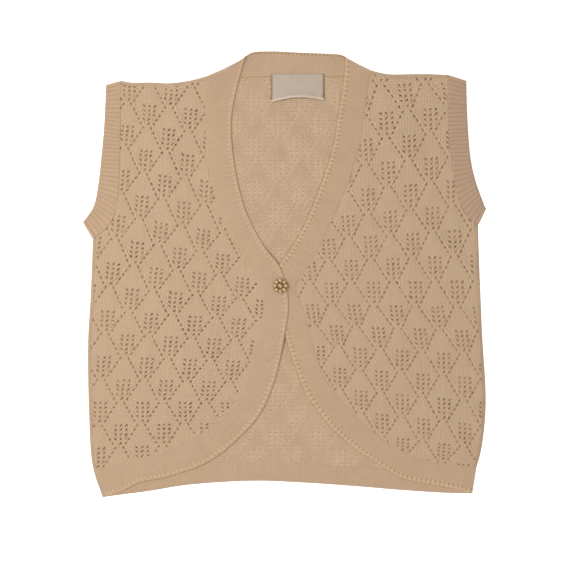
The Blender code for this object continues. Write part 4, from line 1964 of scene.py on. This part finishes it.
@dataclass
class Button:
    """A flower button: a lobed gold plate, cups with a ring of pearls, and a stone in the middle."""

    finishes: Finishes
    place: Place = Place(-5, -14)
    petals: int = 8
    swell: float = 0.1
    plate_foot: float = 6.9
    plate_top: float = 8.1
    radius: float = 8.2
    ring: float = 6.4
    pearl_radius: float = 2.1
    pearl_squash: float = 0.8
    stone_radius: float = 2.5
    stone_squash: float = 0.85
    bead_rise: float = 0.2
    shank_radius: float = 1.5
    shank_foot: float = 4.6
    grains: tuple[tuple[float, float, float], ...] = ((1.22, 0.55, 0.35), (0.6, 0.42, 0.2))
    cup_wire: float = 0.32
    cup_rise: float = 0.55

    def spot(self, petal: float, reach: float = 1.0) -> Place:
        """The middle of a petal, or a place on its axis at a reach against the pearls'."""
        turn, ring = 2 * math.pi * petal / self.petals, self.ring * reach
        return Place(self.place.x + ring * math.cos(turn), self.place.y + ring * math.sin(turn))

    def plate(self) -> Surface:
        """The lobed plate with its shank, gold grains between the petals, and a cup round every pearl."""
        r, foot, top = self.radius, self.plate_foot, self.plate_top
        outline = [
            (NEARLY_NONE, self.shank_foot),
            (self.shank_radius, self.shank_foot),
            (self.shank_radius, foot),
            (r - 0.8, foot),
            (r - 0.15, foot + 0.25),
            (r, foot + 0.6),
            (r - 0.15, top - 0.25),
            (r - 0.8, top),
            (3.3, top - 0.15),
            (NEARLY_NONE, top - 0.15),
        ]
        parts = [lathe(outline, self.place, 64, (self.petals, self.swell, self.shank_radius + 0.7))]
        for petal in range(self.petals):
            parts.append(self.cup(self.spot(petal), self.pearl_radius + 0.1, self.cup_wire))
            for reach, radius, sink in self.grains:
                parts.append(ball(radius, self.spot(petal + 0.5, reach), top - sink, rings=6))
        parts.append(self.cup(self.place, self.stone_radius + 0.15, 0.35))
        return Surface.joined(parts)

    def cup(self, place: Place, radius: float, wire: float) -> Surface:
        """A wire ring that holds a bead: a small circle turned round the bead's axis.

        Args:
            place: The bead's axis.
            radius: Of the ring.
            wire: Radius of the wire.

        Returns:
            The closed ring.
        """
        turn, small = np.meshgrid(
            np.linspace(0, 2 * math.pi, 24, endpoint=False),
            np.linspace(0, 2 * math.pi, 8, endpoint=False),
            indexing="ij",
        )
        reach = radius + wire * np.cos(small)
        height = self.plate_top + self.cup_rise + wire * np.sin(small)
        rings = np.dstack([place.x + reach * np.cos(turn), place.y + reach * np.sin(turn), height])
        uv = np.dstack([turn, small])
        return tube(rings[:, ::-1], uv[:, ::-1], closed=True)

    def dress(self) -> None:
        """Makes the plate, the pearls and the stone."""
        plate = self.plate().piece("button_plate", [self.finishes.gold], "button_gold")
        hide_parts("button_setting")
        foot = self.plate_top + self.bead_rise
        for k in range(self.petals):
            pearl = ball(self.pearl_radius, self.spot(k), foot, self.pearl_squash)
            made = pearl.piece(f"pearl_{k + 1}", [self.finishes.pearl], "pearl")
            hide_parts(f"button_pearl_{k + 1}")
        stone = ball(self.stone_radius, self.place, foot, self.stone_squash)
        made = stone.piece("stone", [self.finishes.stone], "stone")
        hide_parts("button_stone")


# ------------ garment


def tucked(sections: Sequence[Section], depth: float) -> PlanCurve:
    """A band's seam moved depth mm into the band.

    Args:
        sections: The band's table.
        depth: How far to move.

    Returns:
        The line.
    """
    places = []
    for s in sections:
        share = depth / math.dist(s.edge, s.seam)
        x, y = (share * (edge - seam) + seam for edge, seam in zip(s.edge, s.seam))
        places.append(Place(x, y))
    return PlanCurve.through(places)


def sagging(section: Section, sag: float) -> tuple[Place, ...]:
    """Places from a section's seam to its edge, bowed down as a parabola, as the bands' ends are.

    Args:
        section: The section.
        sag: How far its middle is bowed.

    Returns:
        The places.
    """
    places = []
    for share in (0.75, 0.5, 0.25, 0.05):
        x, y = (share * seam + (1 - share) * edge for edge, seam in zip(section.edge, section.seam))
        places.append(Place(x, y - 4 * share * (1 - share) * sag))
    return tuple(places)


@dataclass(frozen=True)
class Half:
    """One half of the garment: its lines on the plan, and what sets its front apart.

    Attributes:
        inwards: 1 if the garment lies to the left of the side's line, which runs down, and -1 if right.
        flank: The side's line, from the underarm down.
    """

    side: Side
    inwards: float
    shoulder: Sequence[Place]
    arm_edge: Sequence[Place]
    arm_seam: Sequence[Place]
    flank: Sequence[Place]
    band: Sequence[Section]
    lattice: Sequence[LatticeRow]
    sag: float
    lift: float
    marks: tuple[EdgeMarks, ...]
    middle: HeightOf
    slit: tuple[float, float]
    seed: int
    band_rests_on: tuple[str, ...]


RIGHT = Half(
    side=Side.RIGHT, inwards=1.0, shoulder=RIGHT_SHOULDER, arm_edge=RIGHT_ARM_EDGE,
    arm_seam=RIGHT_ARM_SEAM, flank=RIGHT_SIDE, band=RIGHT_BAND, lattice=RIGHT_LATTICE, sag=4.2,
    lift=0.3, marks=EDGE_DASHES, middle=LAY.right_middle, slit=(1.45, 0.56), seed=11,
    band_rests_on=("back_panel", "front_band_left"),
)
LEFT = Half(
    side=Side.LEFT, inwards=-1.0, shoulder=LEFT_SHOULDER, arm_edge=LEFT_ARM_EDGE,
    arm_seam=LEFT_ARM_SEAM, flank=LEFT_SIDE, band=LEFT_BAND, lattice=LEFT_LATTICE, sag=3.0, lift=0.0,
    marks=EDGE_DOTS, middle=LAY.left_middle, slit=(1.38, 0.48), seed=12, band_rests_on=("back_panel",),
)


@dataclass
class Garment:
    """The cardigan: lace sheets, bands, armbands, folds, label and button."""

    finishes: Finishes
    tuck: float = 2.0
    seam_inset: float = 1.5
    band_clear: float = 6.0
    front_cut: tuple[float, float] = (235.0, 485.0)
    back_cut: tuple[float, float] = (475.0, 485.0)
    chart: LaceChart = field(default_factory=LaceChart)

    def shoulder(self, half: Half) -> PlanCurve:
        """The lace's border at a shoulder, from the armhole in."""
        return PlanCurve.through(half.shoulder[1:]).moved(-half.inwards * self.seam_inset)

    def armhole(self, half: Half) -> PlanCurve:
        """The lace's border under an armband, from the shoulder down."""
        return PlanCurve.through(half.arm_seam).moved(-half.inwards * self.tuck)

    def flank(self, half: Half, places: Sequence[Place]) -> PlanCurve:
        """The lace's border along places of a side."""
        return PlanCurve.through(places).moved(half.inwards * self.seam_inset)

    def front(self, half: Half) -> LaceSheet:
        """A front's lace sheet, bordered by its shoulder, armhole, side and band."""
        end = half.band[-1].seam
        kept = [place for place in half.flank if place.y > end.y + self.band_clear]
        return LaceSheet(
            name=f"front_lace_{half.side.value}",
            node=f"front_panel_{half.side.value}",
            border=[
                self.shoulder(half).turned(),
                self.armhole(half),
                self.flank(half, [*kept, end]),
                tucked(half.band, self.tuck).turned(),
            ],
            lattice=Lattice(half.lattice, self.chart),
            middle=half.middle,
            flat=self.front_cut,
            rests_on=("back_panel",),
            slit=half.slit,
            seed=half.seed,
        )

    def back(self) -> LaceSheet:
        """The back's lace sheet, inside up."""
        return LaceSheet(
            name="back_lace",
            node="back_panel",
            border=[
                self.shoulder(RIGHT),
                tucked(NECK_BAND, self.tuck),
                self.shoulder(LEFT).turned(),
                self.armhole(LEFT),
                self.flank(LEFT, LEFT.flank[:-1]),
                tucked(HEM_BAND, self.tuck).turned(),
                self.flank(RIGHT, RIGHT.flank[:-1]).turned(),
                self.armhole(RIGHT).turned(),
            ],
            lattice=Lattice(BACK_LATTICE, self.chart),
            middle=LAY.back_middle,
            flat=self.back_cut,
            rests_on=(),
            outside_up=False,
            steps=1,
            thickness=1.8,
            drop=-0.1,
            relief=0.2,
            puff=0.0,
            slit=(0.8, 0.45),
            seed=5,
        )

    def back_bands(self) -> tuple[Band, Band]:
        """The bands of the back's hem and neck."""
        common = {"middle": LAY.back_middle, "rests_on": ("back_panel",), "seam_share": 1.0}
        hem = Band("hem_band", "hem_band_back", HEM_BAND, finish=self.finishes.plain, **common)
        neck = Band(
            "neck_band",
            "neck_band_back",
            NECK_BAND,
            finish=self.finishes.neck_band,
            marks=NECK_DOTS,
            sags=(RIGHT.sag, LEFT.sag),
            **common,
        )
        return hem, neck

    def front_band(self, half: Half) -> Band:
        """A front's band."""
        return Band(
            f"band_{half.side.value}",
            f"front_band_{half.side.value}",
            half.band,
            half.middle,
            self.finishes.front_band[half.side],
            half.band_rests_on,
            marks=half.marks,
            sags=(half.sag, 0.0),
            lift=half.lift,
        )

    def armband(self, half: Half) -> ArmBand:
        """An armhole's ring."""
        side = half.side
        finish = self.finishes.rib[side]
        return ArmBand(
            f"armband_{side.value}", f"arm_band_{side.value}", half.arm_edge, half.arm_seam, finish
        )

    def side_fold(self, half: Half) -> FoldEdge:
        """The fold along a side, from under the armband down."""
        top = half.flank[0]
        places = (Place(top.x, top.y + self.tuck), *half.flank)
        finish = self.finishes.side_fold[half.side]
        return FoldEdge(f"side_fold_{half.side.value}", PlanCurve.through(places), finish, half.inwards)

    def shoulder_fold(self, half: Half) -> FoldEdge:
        """The fold along a shoulder and on over the front band's upper end."""
        places = (*half.shoulder[1:], *sagging(half.band[0], half.sag))
        return FoldEdge(
            f"shoulder_fold_{half.side.value}",
            PlanCurve.through(places),
            self.finishes.plain,
            -half.inwards,
        )

    def dress(self) -> None:
        """Makes every piece, from the ground up."""
        self.back().dress(self.finishes)
        for band in self.back_bands():
            band.dress()
        Label(self.finishes.satin).dress()
        for half in (RIGHT, LEFT):
            self.armband(half).dress()
        for half in (LEFT, RIGHT):
            self.front(half).dress(self.finishes)
            self.front_band(half).dress()
        for half in (RIGHT, LEFT):
            self.side_fold(half).dress()
        for half in (RIGHT, LEFT):
            self.shoulder_fold(half).dress()
        Button(self.finishes).dress()


# ------------ studio


@dataclass(frozen=True)
class Studio:
    """A pale floor, soft light from the upper left and a camera straight above."""

    frame_width: float = 684.0
    centre: Place = Place(0.6, -13.0)
    camera_height: float = 3.0
    sensor: float = 36.0
    floor_side: float = 12.0
    floor_drop: float = 0.0003
    world: float = 0.5
    key: tuple[float, float, float] = (-0.72, 0.3, 1.2)
    key_size: float = 0.6
    key_power: float = 11.3
    fill: tuple[float, float, float] = (0.45, -0.9, 1.0)
    fill_size: float = 1.0
    fill_power: float = 4.7
    floor_tone: Colour = (0.9, 0.9, 0.9)
    floor_glow: Colour = (0.7, 0.7, 0.7)
    # Under the garment: a painted-shade floor colour, and a dim warm glow painted for the light through
    # the cloth.
    under_tone: Colour = (0.6, 0.47, 0.34)
    under_glow: Colour = (0.3, 0.22, 0.15)
    covered: tuple[tuple[Place, Place], ...] = (
        (Place(0, -10), Place(203, 229)), (Place(6, 200), Place(72, 52))
    )
    covered_from: float = 0.97

    def build(self) -> None:
        """Sets up the camera, the lights, the floor and the world."""
        scene = bpy.context.scene
        scene.view_settings.view_transform = "Standard"
        scene.view_settings.look = "None"
        self.camera()
        self.light("key", self.key, self.key_size, self.key_power)
        self.light("fill", self.fill, self.fill_size, self.fill_power)
        self.floor()
        world = bpy.data.worlds.new("studio")
        world.use_nodes = True
        sky = world.node_tree.nodes["Background"]
        sky.inputs["Color"].default_value = (1.0, 1.0, 1.0, 1.0)
        sky.inputs["Strength"].default_value = self.world
        scene.world = world

    def camera(self) -> None:
        """A long lens over the middle of the picture."""
        data = bpy.data.cameras.new("camera")
        data.sensor_width = self.sensor
        data.lens = self.sensor * self.camera_height / (self.frame_width * MM)
        made = bpy.data.objects.new("camera", data)
        made.location = (self.centre.x * MM, self.centre.y * MM, self.camera_height)
        bpy.context.scene.collection.objects.link(made)
        bpy.context.scene.camera = made

    @staticmethod
    def light(name: str, place: tuple[float, float, float], size: float, power: float) -> None:
        """A square lamp that looks at the garment's middle.

        Args:
            name: The lamp's name.
            place: Where it hangs, in metres.
            size: Its side, in metres.
            power: In watts.
        """
        data = bpy.data.lights.new(name, "AREA")
        data.shape = "SQUARE"
        data.size = size
        data.energy = power
        made = bpy.data.objects.new(name, data)
        made.location = place
        direction = -made.location
        made.rotation_euler = direction.to_track_quat("-Z", "Y").to_euler()
        bpy.context.scene.collection.objects.link(made)

    def beyond(self, shader: Shader) -> Value:
        """1 beyond the garment and 0 under it: the least of each box's distance, stepped at its border."""
        parts = shader.node("ShaderNodeSeparateXYZ", None, {0: shader.place()})
        x, y = Value(shader, parts.outputs[0]), Value(shader, parts.outputs[1])
        beyond = x * 0 + 1
        for middle, half in self.covered:
            over = ((x - middle.x * MM) / (half.x * MM)).size()
            along = ((y - middle.y * MM) / (half.y * MM)).size()
            outside = over.math("MAXIMUM", along).step(self.covered_from, 1.0)
            beyond = beyond.math("MINIMUM", outside)
        return beyond

    def floor(self) -> None:
        """A matt white floor with an even glow of its own beyond the garment; under the garment it is
        painted shade, darker and warm, with a dimmer warm glow painted for the light through the cloth.
        """
        mesh = bpy.data.meshes.new("floor")
        side = self.floor_side / 2
        plan = ((-side, -side), (side, -side), (side, side), (-side, side))
        corners = [(x, y, -self.floor_drop) for x, y in plan]
        mesh.from_pydata(corners, [], [(0, 1, 2, 3)])
        shader = Shader("floor_white")
        beyond = self.beyond(shader)
        mesh.materials.append(
            shader.principled(
                Base_Color=shader.mix(beyond, self.under_tone, self.floor_tone),
                Roughness=0.9,
                Emission_Color=shader.mix(beyond, self.under_glow, self.floor_glow),
                Emission_Strength=1.0,
            )
        )
        made = bpy.data.objects.new("floor", mesh)
        bpy.context.scene.collection.objects.link(made)


def main() -> None:
    """Builds the garment and the studio."""
    logging.basicConfig(level=logging.INFO, format="%(name)s: %(message)s")
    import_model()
    Garment(Finishes()).dress()
    Studio().build()


if __name__ == "__main__":
    main()
